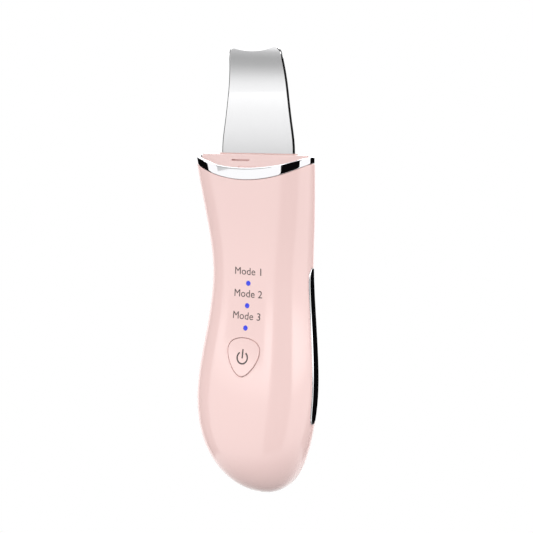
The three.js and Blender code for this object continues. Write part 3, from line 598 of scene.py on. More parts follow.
def solder_mask_board():
    # FR4 laminate under green solder mask: the copper tracks show as paler stepped lines below the lacquer.
    mask = linear("#1E5B3B")
    material = base_material("fr4_green_solder_mask", mask, 0.3, grain_mm=0.4, depth_mm=0.002, shift=0.1)
    tree = material.node_tree
    place = add_node(tree, "ShaderNodeTexCoord").outputs["Object"]
    track_pitch = 1.27 * MM
    tracks = add_node(tree, "ShaderNodeTexBrick", {
        "Vector": add_node(tree, "ShaderNodeMapping", {
            "Vector": place, "Rotation": (math.pi / 2, 0, 0)}).outputs["Vector"],
        "Color1": mask, "Color2": linear("#1B5236"), "Mortar": linear("#3E8A5C"),
        "Scale": 1.0, "Mortar Size": 0.14 * track_pitch, "Brick Width": 6 * track_pitch,
        "Row Height": track_pitch}).outputs["Color"]
    shader = next(n for n in tree.nodes if n.type == "BSDF_PRINCIPLED")
    tree.links.new(tracks, shader.inputs["Base Color"])
    return material


def satin_foil():
    # Aluminised film round the cell and the capacitor's can: silvery, crinkled on a millimetre scale.
    return base_material(
        "crinkled_aluminised_film", linear("#BCC0C6"), 0.3, grain_mm=1.5, depth_mm=0.05, spread=0.3,
        **{"Metallic": 0.85})


def open_cell_foam():
    # Polyurethane foam pad: dark and fully matt, with open cells half a millimetre across.
    return base_material("open_cell_foam", linear("#3B3B3D"), 0.95, grain_mm=0.5, depth_mm=0.15, shift=0.5)


def wire_insulation(name, code):
    # Extruded PVC insulation: smooth and waxy with slight draw lines.
    return base_material(name, linear(code), 0.42, grain_mm=0.4, depth_mm=0.004, stretch=(1, 1, 0.2))


# ---------------------------------------------------------------- casings


def casing_grids(side):
    """Outside and inside of one casing. Side 1 is the rear casing and -1 the front one."""
    seam, edge = setting_mm("seam"), setting_mm("edge")
    tail = 40.0
    blend_z = 104.0
    tail_rows = tail * (np.linspace(0, 1, 52) ** 2)
    middle_rows = np.linspace(tail, blend_z, 76)[1:-1]
    near_top = np.array([1.2, 0.8, 0.5, 0.3, 0.18, 0.12, 0.07, 0.03, 0.01, 0])
    top_rows = np.linspace(0, 1, 20)

    fine = np.array([0, 0.0012, 0.003, 0.006, 0.011, 0.02])
    even = np.linspace(0.035, 0.965, 110)
    shares = np.concatenate([fine, even, 1 - fine[::-1]])

    def angles(z):
        _, ahead, behind = reach(z, 0.0)
        depth = np.maximum(np.where(side > 0, behind, ahead), 1e-3)
        start = np.arcsin(np.clip(seam / 2 / depth, 0, 0.4) ** (SQUARENESS / 2))
        turn = start[..., None] + (math.pi - 2 * start[..., None]) * shares
        return turn if side > 0 else 2 * math.pi - turn

    def top_height(turn):
        z = np.full_like(turn, RING_LOW[0] + 2)
        for _ in range(12):
            z = arc_height(surface_point(z, turn)[..., 0], RING_LOW) - seam / 2
        return z

    lower = np.concatenate([tail_rows, middle_rows])
    turns = angles(np.full(1, RING_LOW[0]))[0]
    tops = top_height(turns)
    upper = blend_z + top_rows[:, None] * (tops[None, :] - near_top[0] - blend_z)
    rim = tops[None, :] - near_top[1:, None]
    z = np.concatenate([np.repeat(lower[:, None], len(shares), 1), upper, rim])
    row_turns = angles(z.mean(1))

    surface = surface_point(z, row_turns)
    from_seam = np.abs(surface[..., 1] - parting(z)) - seam / 2
    room = 0.25 * np.maximum(reach(z, 0.0)[1 if side < 0 else 2], 1e-3)
    inset = np.maximum(rounding(from_seam, np.minimum(edge, room)), rounding(tops[None, :] - z, edge))
    outside = surface_point(z, row_turns, inset)
    # What lies below the flat is raised onto it, and its rim is left softly rounded.
    above, soft = outside[..., 2] - TAIL_FLAT, 0.12
    outside[..., 2] = TAIL_FLAT + (above + np.sqrt(above ** 2 + soft ** 2)) / 2 * (above > -1.5 * soft)

    hollow_floor = 4.4
    inner_z = hollow_floor + z * (tops - hollow_floor) / tops
    inside = surface_point(inner_z, row_turns, WALL)
    for grid in (outside, inside):
        middle = parting(grid[..., 2]) + side * seam / 2
        grid[..., 1] = np.maximum(grid[..., 1], middle) if side > 0 else np.minimum(grid[..., 1], middle)
    inside[0] = (0, float(parting(hollow_floor)) + side * seam / 2, hollow_floor)
    return outside, inside


def strip_outline_half(z, grow):
    middle, half_length = (STRIP_LOW + STRIP_HIGH) / 2, (STRIP_HIGH - STRIP_LOW) / 2 + grow
    share = np.clip(np.abs(z - middle) / half_length, 0, 1)
    return (STRIP_HALF_WIDTH + grow) * np.sqrt(1 - share ** 12)


def strip_grids(side, grow, top_inset, bottom_inset, edge=0.0):
    """Outside and inside grid of a bar that lies along a side of the handle, rounded at its edge."""
    low, high = STRIP_LOW - grow, STRIP_HIGH + grow
    ends = np.array([0, 0.02, 0.06, 0.12, 0.2, 0.32, 0.5, 0.75, 1.1, 1.6, 2.3, 3.2])
    z = np.concatenate([low + ends, np.linspace(low + 4, high - 4, 70), (high - ends)[::-1]])
    across = np.concatenate([[-1, -0.985, -0.96, -0.92, -0.86], np.linspace(-0.78, 0.78, 15),
                             [0.86, 0.92, 0.96, 0.985, 1]])
    half = strip_outline_half(z, grow)
    z_grid = np.repeat(z[:, None], len(across), 1)
    y = parting(z_grid) + half[:, None] * across
    inset = np.full_like(y, top_inset)
    if edge:
        from_end = np.minimum(z - low, high - z)[:, None]
        from_edge = half[:, None] * (1 - np.abs(across))
        inset = inset + rounding(np.minimum(from_edge, from_end), edge)
    top = np.stack([side * side_x(y, z_grid, inset), y, z_grid], -1)
    bottom = np.stack([side * side_x(y, z_grid, bottom_inset), y, z_grid], -1)
    return top, bottom


def strip_cutter(side):
    depth = 1.0
    outside, bottom = strip_grids(side, setting_mm("seam"), -1.5, depth)
    return closed_sheet("strip_cutter", outside, bottom)


def bezier(a, b, c, d, steps):
    t = np.linspace(0, 1, steps, endpoint=False)[:, None]
    points = [np.asarray(p, float) for p in (a, b, c, d)]
    return sum(w * p for w, p in zip(((1 - t) ** 3, 3 * t * (1 - t) ** 2, 3 * t ** 2 * (1 - t), t ** 3), points))


def button_outline():
    """Rounded triangle about the button's centre in X and Z, and the outward direction at each point."""
    top, bottom, half, corner = BUTTON_TOP, BUTTON_BOTTOM, BUTTON_HALF_WIDTH, BUTTON_CORNER
    steps = 24
    points = np.concatenate([
        bezier((0, top), (-3.6, top), (-half, top - 1.5), (-half, corner), steps),
        bezier((-half, corner), (-half, -1.5), (-2.6, bottom), (0, bottom), steps),
        bezier((0, bottom), (2.6, bottom), (half, -1.5), (half, corner), steps),
        bezier((half, corner), (half, top - 1.5), (3.6, top), (0, top), steps),
    ])
    ahead = np.roll(points, -1, 0) - np.roll(points, 1, 0)
    outward = np.stack([ahead[:, 1], -ahead[:, 0]], -1)
    return points, outward / np.linalg.norm(outward, axis=1)[:, None]


def front_loop(points, centre_z, inset):
    """Points in X and Z laid on the front of the handle, `inset` inside its surface."""
    x, z = points[:, 0], points[:, 1] + centre_z
    return np.stack([x, front_y(x, z, inset), z], -1)


def front_cutter(points, outward, centre_z, gap, lip, depth):
    """Cutter for an opening in the front, flared at its mouth so that the lip comes out rounded."""
    loops = []
    for inset in (-1.5, -0.4):
        loops.append(front_loop(points + outward * (gap + lip), centre_z, inset))
    for inset in np.linspace(0, lip, 5):
        flare = lip - math.sqrt(max(lip ** 2 - (lip - inset) ** 2, 0)) if lip else 0
        loops.append(front_loop(points + outward * (gap + flare), centre_z, inset))
    loops.append(front_loop(points + outward * gap, centre_z, depth))
    return lofted("front_cutter", loops)


def circle(radius, steps=32):
    turn = np.linspace(0, 2 * math.pi, steps, endpoint=False)
    outward = np.stack([np.cos(turn), np.sin(turn)], -1)
    return radius * outward, outward


def port_cutter():
    centre_y = (PORT_LOW[1] + PORT_HIGH[1]) / 2
    half_length, half_height = (PORT_HIGH[0] - PORT_LOW[0]) / 2, (PORT_HIGH[1] - PORT_LOW[1]) / 2
    clearance = 0.3
    points, _ = slot_outline(half_length + clearance, half_height + clearance)
    loops = [np.stack([points[:, 0], points[:, 1] + centre_y, np.full(len(points), z)], -1) for z in (-4, 11.4)]
    return lofted("port_cutter", loops)


def cover_loops(grow, insets_and_growth):
    """Loops on the back of the handle round the cover plate, each with its growth and inset."""
    centre_z = (COVER_LOW[2] + COVER_HIGH[2]) / 2
    half_u, half_v = COVER_HIGH[0], (COVER_HIGH[2] - COVER_LOW[2]) / 2
    corner = 4.0
    points, outward = divided(*rounded_rectangle(half_u, half_v, corner, 9), 2.0)
    loops = []
    for growth, inset, scale in insets_and_growth:
        flat = (points + outward * (grow + growth)) * scale
        x, z = flat[:, 0], flat[:, 1] + centre_z
        loops.append(np.stack([x, rear_y(x, z, inset), z], -1))
    return loops


def shrinking(inset, steps=12):
    """Loops from the middle of a face out to its edge, all at one inset."""
    return [(0.0, inset, scale) for scale in np.linspace(0.02, 0.985, steps)]


def cover_cutter():
    gap, depth, clear_of_back = setting_mm("seam"), 1.0, -2.0
    walls = [(0.0, clear_of_back, 1.0), (0.0, depth, 1.0)]
    return lofted("cover_cutter", cover_loops(gap, shrinking(clear_of_back) + walls + shrinking(depth)[::-1]))


def post(name, radius, x, z, y_from, y_to, steps=20):
    flat, _ = circle(radius, steps)
    loops = [np.stack([flat[:, 0] + x, np.full(steps, y), flat[:, 1] + z], -1) for y in (y_from, y_to)]
    return lofted(name, loops)


def make_casings():
    colours, _, _ = settings()
    material = moulded_gloss_abs(tuple(colours.casing))
    front = closed_sheet("front_casing_shell", *casing_grids(-1))
    outline, outward = button_outline()
    button_gap = setting_mm("button_gap")
    front_tools = [front_cutter(outline, outward, BUTTON_Z, button_gap, 0.12, 2.6)]
    rear = closed_sheet("rear_casing_shell", *casing_grids(1))
    for casing, tools in ((front, front_tools), (rear, [cover_cutter()])):
        tools += [strip_cutter(1), strip_cutter(-1), port_cutter()]
        apply_boolean(casing, [joined("cutters", tools)])
    apply_boolean(front, [post("light_hole", 0.98, 0.0, z, -20, -2.5, 30) for z in LIGHT_HEIGHTS])
    for casing in (front, rear):
        casing.data.materials.clear()
        casing.data.materials.append(material)
    finish_piece(front, "handle", "pink_casing", "front_casing")
    finish_piece(rear, "handle", "pink_casing", "rear_casing")


# ---------------------------------------------------------------- trims and head


def make_cover(material):
    edge, thickness = setting_mm("edge"), 0.8
    face = [(0.0, 0.0, scale) for scale in np.linspace(0.02, 0.96, 14)]
    turned_edge = [(-d, float(rounding(d, edge)), 1.0) for d in (0.4, edge, edge * 0.6, edge * 0.3, edge * 0.1, 0)]
    wall = [(0.0, thickness, 1.0)]
    loops = cover_loops(0.0, face + turned_edge + wall + shrinking(thickness)[::-1])
    cover = lofted("rear_cover_plate", loops, material)
    finish_piece(cover, "handle", "pink_casing", "rear_screw_cover")


def make_neck_ring():
    colours, _, _ = settings()
    seam, lip, foot = setting_mm("seam"), setting_mm("ring_lip"), 0.3
    turn = np.linspace(0, 2 * math.pi, 360, endpoint=False)

    def height(edge, inset):
        z = np.full_like(turn, edge[0] + 2)
        for _ in range(12):
            z = arc_height(surface_point(z, turn, inset)[..., 0], edge)
        return z

    low, high = height(RING_LOW, 0.0) + seam / 2, height(RING_HIGH, 0.0)
    loops = []
    for d in np.array([0, 0.03, 0.1, 0.22, 0.4, 0.65, 1]) * foot:
        loops.append(surface_point(low + d, turn, rounding(d, foot)))
    for share in np.linspace(0, 1, 9)[1:-1]:
        loops.append(surface_point(low + foot + (high - lip - low - foot) * share, turn, 0.0))
    for d in np.array([1, 0.75, 0.52, 0.33, 0.18, 0.08, 0.02, 0]) * lip:
        loops.append(surface_point(high - d, turn, rounding(d, lip)))
    loops.append(surface_point(high - 0.1, turn, WALL))
    loops.append(surface_point(low + 0.1, turn, WALL))
    ring = lofted("neck_ring_band", loops, chrome_plated_abs(tuple(colours.chrome)), ring=True, crease=50)
    finish_piece(ring, "handle", "chrome_trim", "neck_ring")


def roof_height(y, drop=0.0, soften=0.45):
    """Height of the head cap's roof: a front slope, a flat top and a rear slope, eased into each other."""
    deck = (RIDGE_Z - DECK_FOOT[1]) / (RIDGE_Y - DECK_FOOT[0])
    back = (RIDGE_Z - CAP_REAR_FOOT[1]) / (CAP_REAR_FOOT[0] - CAP_BACK_Y)

    def eased(rise, slope):
        """0 above the crease and falling at `slope` below it, over a rounded stretch."""
        t = np.clip(rise / soften, -1, 1)
        crease = -slope * soften * (1 - t) ** 2 / 4
        return np.where(rise > soften, 0.0, np.where(rise < -soften, rise * slope, crease))

    return RIDGE_Z - drop + eased(y - RIDGE_Y, deck) + eased(CAP_BACK_Y - y, back)


def cap_taper(z):
    return WALL + 0.3 + 0.12 * np.maximum(0, z - 126)


def cap_half(front, inset, drop, low):
    """Grid over one half of the head cap, from the foot of its wall up to the ridge line."""

    def wall_point(z, turn):
        return surface_point(z, turn, cap_taper(z) + inset)

    def wall_top(turn):
        z = np.full_like(turn, RIDGE_Z - 2.0)
        for _ in range(40):
            z = 0.5 * z + 0.5 * roof_height(wall_point(z, turn)[..., 1], drop)
        return z

    corner = np.linspace(0, 0.3, 400)
    at_ridge = np.argmin(np.abs(wall_point(wall_top(corner), corner)[:, 1] - RIDGE_Y))
    start = corner[at_ridge]
    turn = np.linspace(start, -math.pi - start if front else math.pi - start, 150)
    tops = wall_top(turn)
    edge = wall_point(tops, turn)
    ridge_x = edge[0, 0] * np.cos(np.linspace(0, math.pi, len(turn)))
    ridge = np.stack([ridge_x, np.full(len(turn), RIDGE_Y), roof_height(np.full(len(turn), RIDGE_Y), drop)], -1)
    length = np.linalg.norm(ridge - edge, axis=1)
    radius = np.minimum(0.7, 0.4 * length)
    rows = [wall_point(low + (tops - radius - low) * share, turn) for share in np.linspace(0, 1, 14)]
    inward = edge + (ridge - edge) * (radius / np.maximum(length, 1e-6))[:, None]
    inward[:, 2] = roof_height(inward[:, 1], drop)
    below = wall_point(tops - radius, turn)
    for t in np.linspace(0, 1, 8)[1:]:
        rows.append((1 - t) ** 2 * below + 2 * t * (1 - t) * edge + t ** 2 * inward)
    spacing = np.concatenate([np.linspace(0, 0.85, 16)[1:], np.linspace(0.85, 1, 14)[1:]])
    for t in spacing:
        row = inward * (1 - t) + ridge * t
        row[:, 2] = roof_height(row[:, 1], drop)
        rows.append(row)
    return np.array(rows)


def box_tool(name, low, high):
    points, _ = rounded_rectangle((high[0] - low[0]) / 2, (high[1] - low[1]) / 2, 0.12, 5)
    centre = (np.array(low) + np.array(high)) / 2
    loops = [np.stack([points[:, 0] + centre[0], points[:, 1] + centre[1], np.full(len(points), z)], -1)
             for z in (low[2], high[2])]
    return lofted(name, loops)


def make_head_cap(material):
    hollow, drop = WALL, 2.0
    points, faces = [], []
    grids = [
        cap_half(True, 0.0, 0.0, CAP_LOW), cap_half(False, 0.0, 0.0, CAP_LOW),
        cap_half(True, hollow, drop, CAP_LOW), cap_half(False, hollow, drop, CAP_LOW),
    ]
    first = 0
    starts = []
    for grid in grids:
        starts.append(first)
        faces += grid_faces(*grid.shape[:2], first=first)
        points.append(grid.reshape(-1, 3))
        first += grid.shape[0] * grid.shape[1]
    columns = grids[0].shape[1]
    for outer, inner in ((0, 2), (1, 3)):
        faces += strip_faces(list(range(starts[outer], starts[outer] + columns)),
                             list(range(starts[inner], starts[inner] + columns)))
    cap = new_piece("head_cap_shell", np.concatenate(points), faces)
    slot, _ = slot_outline(16.5, 2.3)
    slot_loops = [np.stack([slot[:, 0], slot[:, 1] + BLADE_Y, np.full(len(slot), z)], -1) for z in (110, 140)]
    tools = [
        lofted("slot_cutter", slot_loops),
        box_tool("snap_slot", (-8, -6, 127.5), (-0.4, -2.2, 128.1)),
        box_tool("foot_notch", (-3.2, -9, 125.1), (4.4, -6.6, 125.9)),
    ]
    apply_boolean(cap, [joined("cutters", tools)])
    cap.data.materials.clear()
    cap.data.materials.append(material)
    finish_piece(cap, "handle", "pink_casing", "head_cap")


def make_seal():
    colours, _, _ = settings()
    low, high = box_mm("blade_seal")
    outer_half = ((high[0] - low[0]) / 2, (high[1] - low[1]) / 2)
    inner_half = (15.3, BLADE_THICKNESS / 2 + 0.3)
    outer, outward = slot_outline(*outer_half, 28)
    inner, _ = slot_outline(*inner_half, 28)
    lip = 0.35
    loops = []
    for d in np.array([1, 0.6, 0.3, 0.08, 0]) * lip:
        loops.append((outer - outward * float(rounding(d, lip)), high[2] - d))
    loops.append((inner, high[2]))
    loops.append((inner, low[2]))
    loops.append((outer, low[2]))
    rings = [np.stack([flat[:, 0], flat[:, 1] + BLADE_Y, np.full(len(flat), z)], -1) for flat, z in loops]
    seal = lofted("blade_seal_lip", rings, moulded_silicone(tuple(colours.seal)), ring=True)
    finish_piece(seal, "handle", "seal_silicone", "blade_seal")


def make_side_contacts(material):
    proud, depth, edge = 0.35, 0.7, 0.3
    for side, hand in ((1, "right"), (-1, "left")):
        top, bottom = strip_grids(side, 0.0, -proud, depth, edge)
        strip = closed_sheet(f"side_strip_{hand}", top, bottom, material, crease=60)
        finish_piece(strip, "handle", "chrome_trim", f"side_contact_{hand}")


# ---------------------------------------------------------------- blade


def tip_height(u):
    """Height of the blade's tip edge across its width: two horns with a shallow dip between them."""
    across = np.abs(u)
    dip = TIP_CENTRE_Z + (TIP_HORN_Z - TIP_CENTRE_Z) * (across / TIP_HORN_AT) ** 2
    round_share = np.clip((across - TIP_HORN_AT) / (1 - TIP_HORN_AT), 0, 1)
    shoulder = TIP_SHOULDER_Z + (TIP_HORN_Z - TIP_SHOULDER_Z) * np.sqrt(1 - round_share ** 2)
    return np.where(across <= TIP_HORN_AT, dip, shoulder)


def blade_grid(face, u, v):
    """One face of the blade: flat, bevelled along both sides, thinned to its tip and leaning forward."""
    z = BLADE_ROOT_Z + v[:, None] * (tip_height(u)[None, :] - BLADE_ROOT_Z)
    half = blade_half_width(np.minimum(z, TIP_SHOULDER_Z))
    x = u[None, :] * half
    lean = np.maximum(0, z - BLADE_BEND_FROM) / (TIP_HORN_Z - BLADE_BEND_FROM)
    from_side = half - np.abs(x)
    drop = BLADE_BEVEL_DROP * np.clip(1 - from_side / setting_mm("blade_bevel"), 0, 1)
    from_tip = tip_height(u)[None, :] - z
    hone = BLADE_HONE_DROP * np.clip(1 - from_tip / BLADE_HONE_LENGTH, 0, 1)
    half_thickness = BLADE_THICKNESS / 2 - np.minimum(drop + hone, BLADE_LARGEST_DROP)
    y = BLADE_Y - BLADE_BEND * lean ** 2 + face * half_thickness
    return np.stack([x, y, z], -1)


def make_blade():
    colours, _, _ = settings()
    bevel_share = setting_mm("blade_bevel") / BLADE_TYPICAL_HALF_WIDTH
    edge_u = 1 - np.array([0, 0.5, 0.96, 1.0, 1.05]) * bevel_share
    shoulder_u = np.linspace(0.8, edge_u[-1] - 0.01, 6)
    right = np.concatenate([np.linspace(0.02, 0.8, 24)[:-1], shoulder_u, edge_u[::-1]])
    u = np.concatenate([-right[::-1], [0], right])
    v = np.concatenate([np.linspace(0, 0.6, 20), np.linspace(0.6, 0.95, 40)[1:], np.linspace(0.95, 1, 14)[1:]])
    blade = closed_sheet("blade_plate", blade_grid(-1, u, v), blade_grid(1, u, v), crease=12)
    half = BLADE_THICKNESS / 2 - 0.01
    outline, _ = rounded_rectangle(TANG_HALF_WIDTH, (BLADE_ROOT_Z + 3 - TANG_Z) / 2, 1.0, 8)
    centre_z = (BLADE_ROOT_Z + 3 + TANG_Z) / 2
    tang_loops = [np.stack([outline[:, 0], np.full(len(outline), BLADE_Y + y), outline[:, 1] + centre_z], -1)
                  for y in (-half, half)]
    apply_boolean(blade, [lofted("tang", tang_loops)], "UNION")
    holes = []
    for number in (1, 2):
        low, high = box_mm(f"blade_screw_{number}")
        holes.append(post("hole", 1.0, 0.0, (low[2] + high[2]) / 2, -5, 10))
    apply_boolean(blade, [joined("holes", holes)])
    blade.data.materials.clear()
    blade.data.materials.append(polished_blade_steel(tuple(colours.steel)))
    shade(blade, 8)
    finish_piece(blade, "vibrator", "blade_steel", "blade")


# ---------------------------------------------------------------- button, lights and marks


def make_button(material):
    outline, outward = button_outline()
    proud, edge = 0.22, 0.3
    loops = [front_loop(outline * scale, BUTTON_Z, -proud) for scale in np.linspace(0.02, 0.94, 16)]
    for d in np.array([1, 0.7, 0.45, 0.22, 0.07, 0]) * edge:
        loops.append(front_loop(outline - outward * d, BUTTON_Z, -proud + float(rounding(d, edge))))
    loops.append(front_loop(outline, BUTTON_Z, 1.9))
    loops.append(front_loop(outline + outward * 0.9, BUTTON_Z, 1.9))
    loops.append(front_loop(outline + outward * 0.9, BUTTON_Z, 2.7))
    stem_end = box_mm("power_button")[1][1]
    stem_radius = 1.9
    turn = np.arctan2(outline[:, 1], outline[:, 0])
    stem = np.stack([np.cos(turn), np.sin(turn)], -1) * stem_radius
    loops.append(front_loop(stem, BUTTON_Z, 2.7))
    loops.append(np.stack([stem[:, 0], np.full(len(stem), stem_end), stem[:, 1] + BUTTON_Z], -1))
    button = lofted("power_button_cap", loops, material)
    finish_piece(button, "button", "pink_casing", "power_button")


def make_light_pipes():
    colours, _, _ = settings()
    material = lit_light_pipe(tuple(colours.light))
    dome, radius, steps = 0.12, 0.92, 28
    for number, z in enumerate(LIGHT_HEIGHTS, 1):
        back = box_mm(f"light_pipe_{number}")[1][1]
        loops = []
        for share in (0.03, 0.25, 0.5, 0.72, 0.87, 0.95, 0.99, 1.0):
            flat, _ = circle(radius * share, steps)
            rise = dome * math.sqrt(max(1 - share ** 2, 0))
            loops.append(front_loop(flat, z, 0.05 - rise))
        flat, _ = circle(radius, steps)
        loops.append(np.stack([flat[:, 0], np.full(steps, back), flat[:, 1] + z], -1))
        pipe = lofted(f"light_pipe_lens_{number}", loops, material)
        finish_piece(pipe, "handle", "status_lens", f"light_pipe_{number}")


def laid_on_front(piece, centre_z, proud, thickness):
    """Moves a flat mesh, drawn in X and Y with its thickness in Z, onto the front of the handle."""
    for vertex in piece.data.vertices:
        x, z, level = vertex.co.x / MM, vertex.co.y / MM + centre_z, vertex.co.z
        inset = -proud - (thickness if level > 0 else 0.0)
        vertex.co = Vector((x, float(front_y(x, z, inset)), z)) * MM
    tidy_mesh(piece.data)
    shade(piece)


def lettering(name, body, height_mm, material):
    """Flat text about the origin with a thickness either side of it, as a mesh."""
    curve = bpy.data.curves.new(name, "FONT")
    curve.body = body
    curve.align_x = "CENTER"
    capital_share = 0.73  # capitals stand this share of the font's size
    curve.size = height_mm / capital_share * MM
    curve.extrude = 0.01 * MM
    curve.space_character = 1.02
    curve.resolution_u = 5
    text = bpy.data.objects.new(name, curve)
    bpy.context.scene.collection.objects.link(text)
    evaluated = text.evaluated_get(bpy.context.evaluated_depsgraph_get())
    mesh = bpy.data.meshes.new_from_object(evaluated)
    bpy.data.objects.remove(text)
    mesh.materials.clear()
    mesh.materials.append(material)
    piece = bpy.data.objects.new(name, mesh)
    bpy.context.scene.collection.objects.link(piece)
    return piece


def power_symbol(material, stroke):
    """Open ring with an upright bar in its gap, flat about the origin."""
    radius, open_half, steps = 2.15, math.radians(35), 48
    turn = np.linspace(math.pi / 2 + open_half, math.pi / 2 + 2 * math.pi - open_half, steps)
    ring_points = np.stack([np.cos(turn), np.sin(turn)], -1)
    level = 0.01
    pieces = []
    bar = np.array([(0, -0.2), (0, 3.1)], float)
    for index, centre_line in enumerate((ring_points * radius, np.linspace(bar[0], bar[1], 6))):
        along = np.gradient(centre_line, axis=0)
        across = np.stack([-along[:, 1], along[:, 0]], -1) / np.linalg.norm(along, axis=1)[:, None]
        rows = []
        for side, height in ((-1, -level), (1, -level), (1, level), (-1, level)):
            edge = centre_line + across * side * stroke / 2
            rows.append(np.concatenate([edge, np.full((len(edge), 1), height)], 1))
        loops = np.stack(rows, 1)
        pieces.append(lofted(f"symbol_{index}", loops, material))
    return joined("power_symbol", pieces)


def make_marks():
    colours, _, _ = settings()
    ink = pad_print_ink(tuple(colours.ink))
    height, rise = setting_mm("mark_height"), 3.1
    marks = []
    for number, z in enumerate(LIGHT_HEIGHTS, 1):
        text = lettering(f"mode_mark_{number}", f"Mode {number}", height, ink)
        laid_on_front(text, z + rise, 0.0, 0.03)
        marks.append(text)
    print_marks = joined("mode_marks", marks)
    finish_piece(print_marks, "handle", "pink_casing")
    symbol = power_symbol(ink, setting_mm("mark_stroke"))
    laid_on_front(symbol, BUTTON_Z - 0.2, 0.2, 0.05)
    finish_piece(symbol, "button", "pink_casing")


# ---------------------------------------------------------------- charging socket


def make_socket():
    centre_y = (PORT_LOW[1] + PORT_HIGH[1]) / 2
    half = ((PORT_HIGH[0] - PORT_LOW[0]) / 2, (PORT_HIGH[1] - PORT_LOW[1]) / 2)
    outer, outward = slot_outline(*half, 20)
    wall = 0.35
    back_wall = 0.8

    def loop(inset, z):
        flat = outer - outward * inset
        return np.stack([flat[:, 0], flat[:, 1] + centre_y, np.full(len(flat), z)], -1)

    mouth = PORT_LOW[2]
    loops = [loop(0.0, PORT_HIGH[2] - 0.2), loop(0.0, mouth + wall / 2)]
    for turn in np.linspace(0, math.pi, 8)[1:-1]:
        loops.append(loop(wall / 2 * (1 - math.cos(turn)), mouth + wall / 2 * (1 - math.sin(turn))))
    loops += [loop(wall, mouth + wall / 2), loop(wall, PORT_HIGH[2] - back_wall)]
    loops = [loop(0.3, PORT_HIGH[2])] + loops
    shell = lofted("socket_shell", loops, stainless_shell())
    finish_piece(shell, "handle", "tail_mass_steel", "usb_socket")

    low, high = box_mm("usb_tongue")
    nylon, brass = bpy.data.materials["glass_filled_nylon"], bpy.data.materials["stamped_rolled_brass"]
    flat, flat_outward = rounded_rectangle((high[0] - low[0]) / 2, (high[1] - low[1]) / 2, 0.2, 5)
    levels = [(0.12, low[2]), (0.0, low[2] + 0.12), (0.0, high[2])]
    rings = [np.stack([flat[:, 0] - flat_outward[:, 0] * inset, flat[:, 1] - flat_outward[:, 1] * inset + centre_y,
                       np.full(len(flat), z)], -1) for inset, z in levels]
    tongue = [lofted("tongue", rings, nylon)]
    pitch, contact_half = 0.5, 0.13
    proud = 0.03
    for face in (-1, 1):
        for k in range(-5, 6, 2):
            x = k * pitch
            outline, _ = rounded_rectangle(contact_half, (high[2] - low[2]) / 2 - 0.5, 0.06, 3)
            y_face = centre_y + face * (high[1] - low[1]) / 2
            loops = [np.stack([outline[:, 0] + x, np.full(len(outline), y_face + face * step),
                               outline[:, 1] + (low[2] + high[2]) / 2], -1) for step in (-0.1, proud)]
            tongue.append(lofted("contact", loops, brass))
    whole = joined("socket_tongue", tongue)
    finish_piece(whole, "handle", "black_nylon", "usb_tongue")


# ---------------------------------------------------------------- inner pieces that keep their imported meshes


def make_inner_pieces():
    steel = turned_metal("turned_steel", "#A9ABAF", 0.3)
    screws = zinc_plated_steel()
    brass = stamped_brass()
    nylon = black_moulding("glass_filled_nylon", "#2B2B2E", 0.5)
    finishes = {
        "led_chip_": white_epoxy(),
        "transducer_horn": turned_metal("turned_aluminium", "#C4C6C9", 0.33),
        "piezo_ring_": fired_ceramic(),
        "electrode_": brass,
        "contact_spring_": brass,
        "transducer_tail_mass": steel,
        "transducer_bolt": screws,
        "blade_screw_": screws,
        "clamp_screw_": screws,
        "board_screw_": screws,
        "case_screw_": screws,
        "transducer_sleeve": black_moulding("moulded_black_rubber", "#1C1C1E", 0.75),
        "transducer_clamp": nylon,
        "switch_body": nylon,
        "switch_plunger": nylon,
        "boost_transformer": nylon,
        "control_chip": black_moulding("chip_epoxy", "#17181A", 0.4),
        "circuit_board": solder_mask_board(),
        "charge_board": None,
        "filter_capacitor": satin_foil(),
        "battery_cell": None,
        "battery_pad": open_cell_foam(),
        "battery_lead_red": wire_insulation("pvc_insulation_red", "#B8241F"),
        "battery_lead_black": wire_insulation("pvc_insulation_black", "#202022"),
    }
    finishes["charge_board"] = finishes["circuit_board"]
    finishes["battery_cell"] = finishes["filter_capacitor"]
    for kind in ("transducer_lead_", "charge_lead_"):
        for wire in ("red", "black"):
            finishes[kind + wire] = finishes["battery_lead_" + wire]
    for name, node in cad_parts.items():
        found = [finish for start, finish in finishes.items() if name.startswith(start)]
        if found:
            node.data.materials.clear()
            node.data.materials.append(found[0])


# ---------------------------------------------------------------- camera and studio


def make_camera():
    _, _, studio = settings()
    middle = (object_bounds()[0][2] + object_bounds()[1][2]) / 2 / MM
    above_middle = 3.55
    aim = Vector((0, 0.3, middle + above_middle)) * MM
    level = studio.distance * math.cos(studio.rise)
    above = studio.distance * math.sin(studio.rise)
    offset = Vector((level * math.sin(studio.turn), -level * math.cos(studio.turn), above))
    camera = bpy.data.cameras.new("studio_camera")
    camera.lens = studio.lens
    camera.sensor_width = 36
    camera.shift_x = 0.0197  # share of the frame's width by which the handle stands left of its middle
    camera.clip_start = 0.01
    holder = bpy.data.objects.new("studio_camera", camera)
    holder.location = aim + offset
    holder.rotation_euler = (-offset).to_track_quat("-Z", "Y").to_euler()
    bpy.context.scene.collection.objects.link(holder)
    bpy.context.scene.camera = holder


def plain_emission(name, colour, strength):
    material = bpy.data.materials.new(name)
    material.use_nodes = True
    tree = material.node_tree
    tree.nodes.clear()
    glow = add_node(tree, "ShaderNodeEmission", {"Color": colour, "Strength": strength})
    add_node(tree, "ShaderNodeOutputMaterial", {"Surface": glow.outputs["Emission"]})
    return material


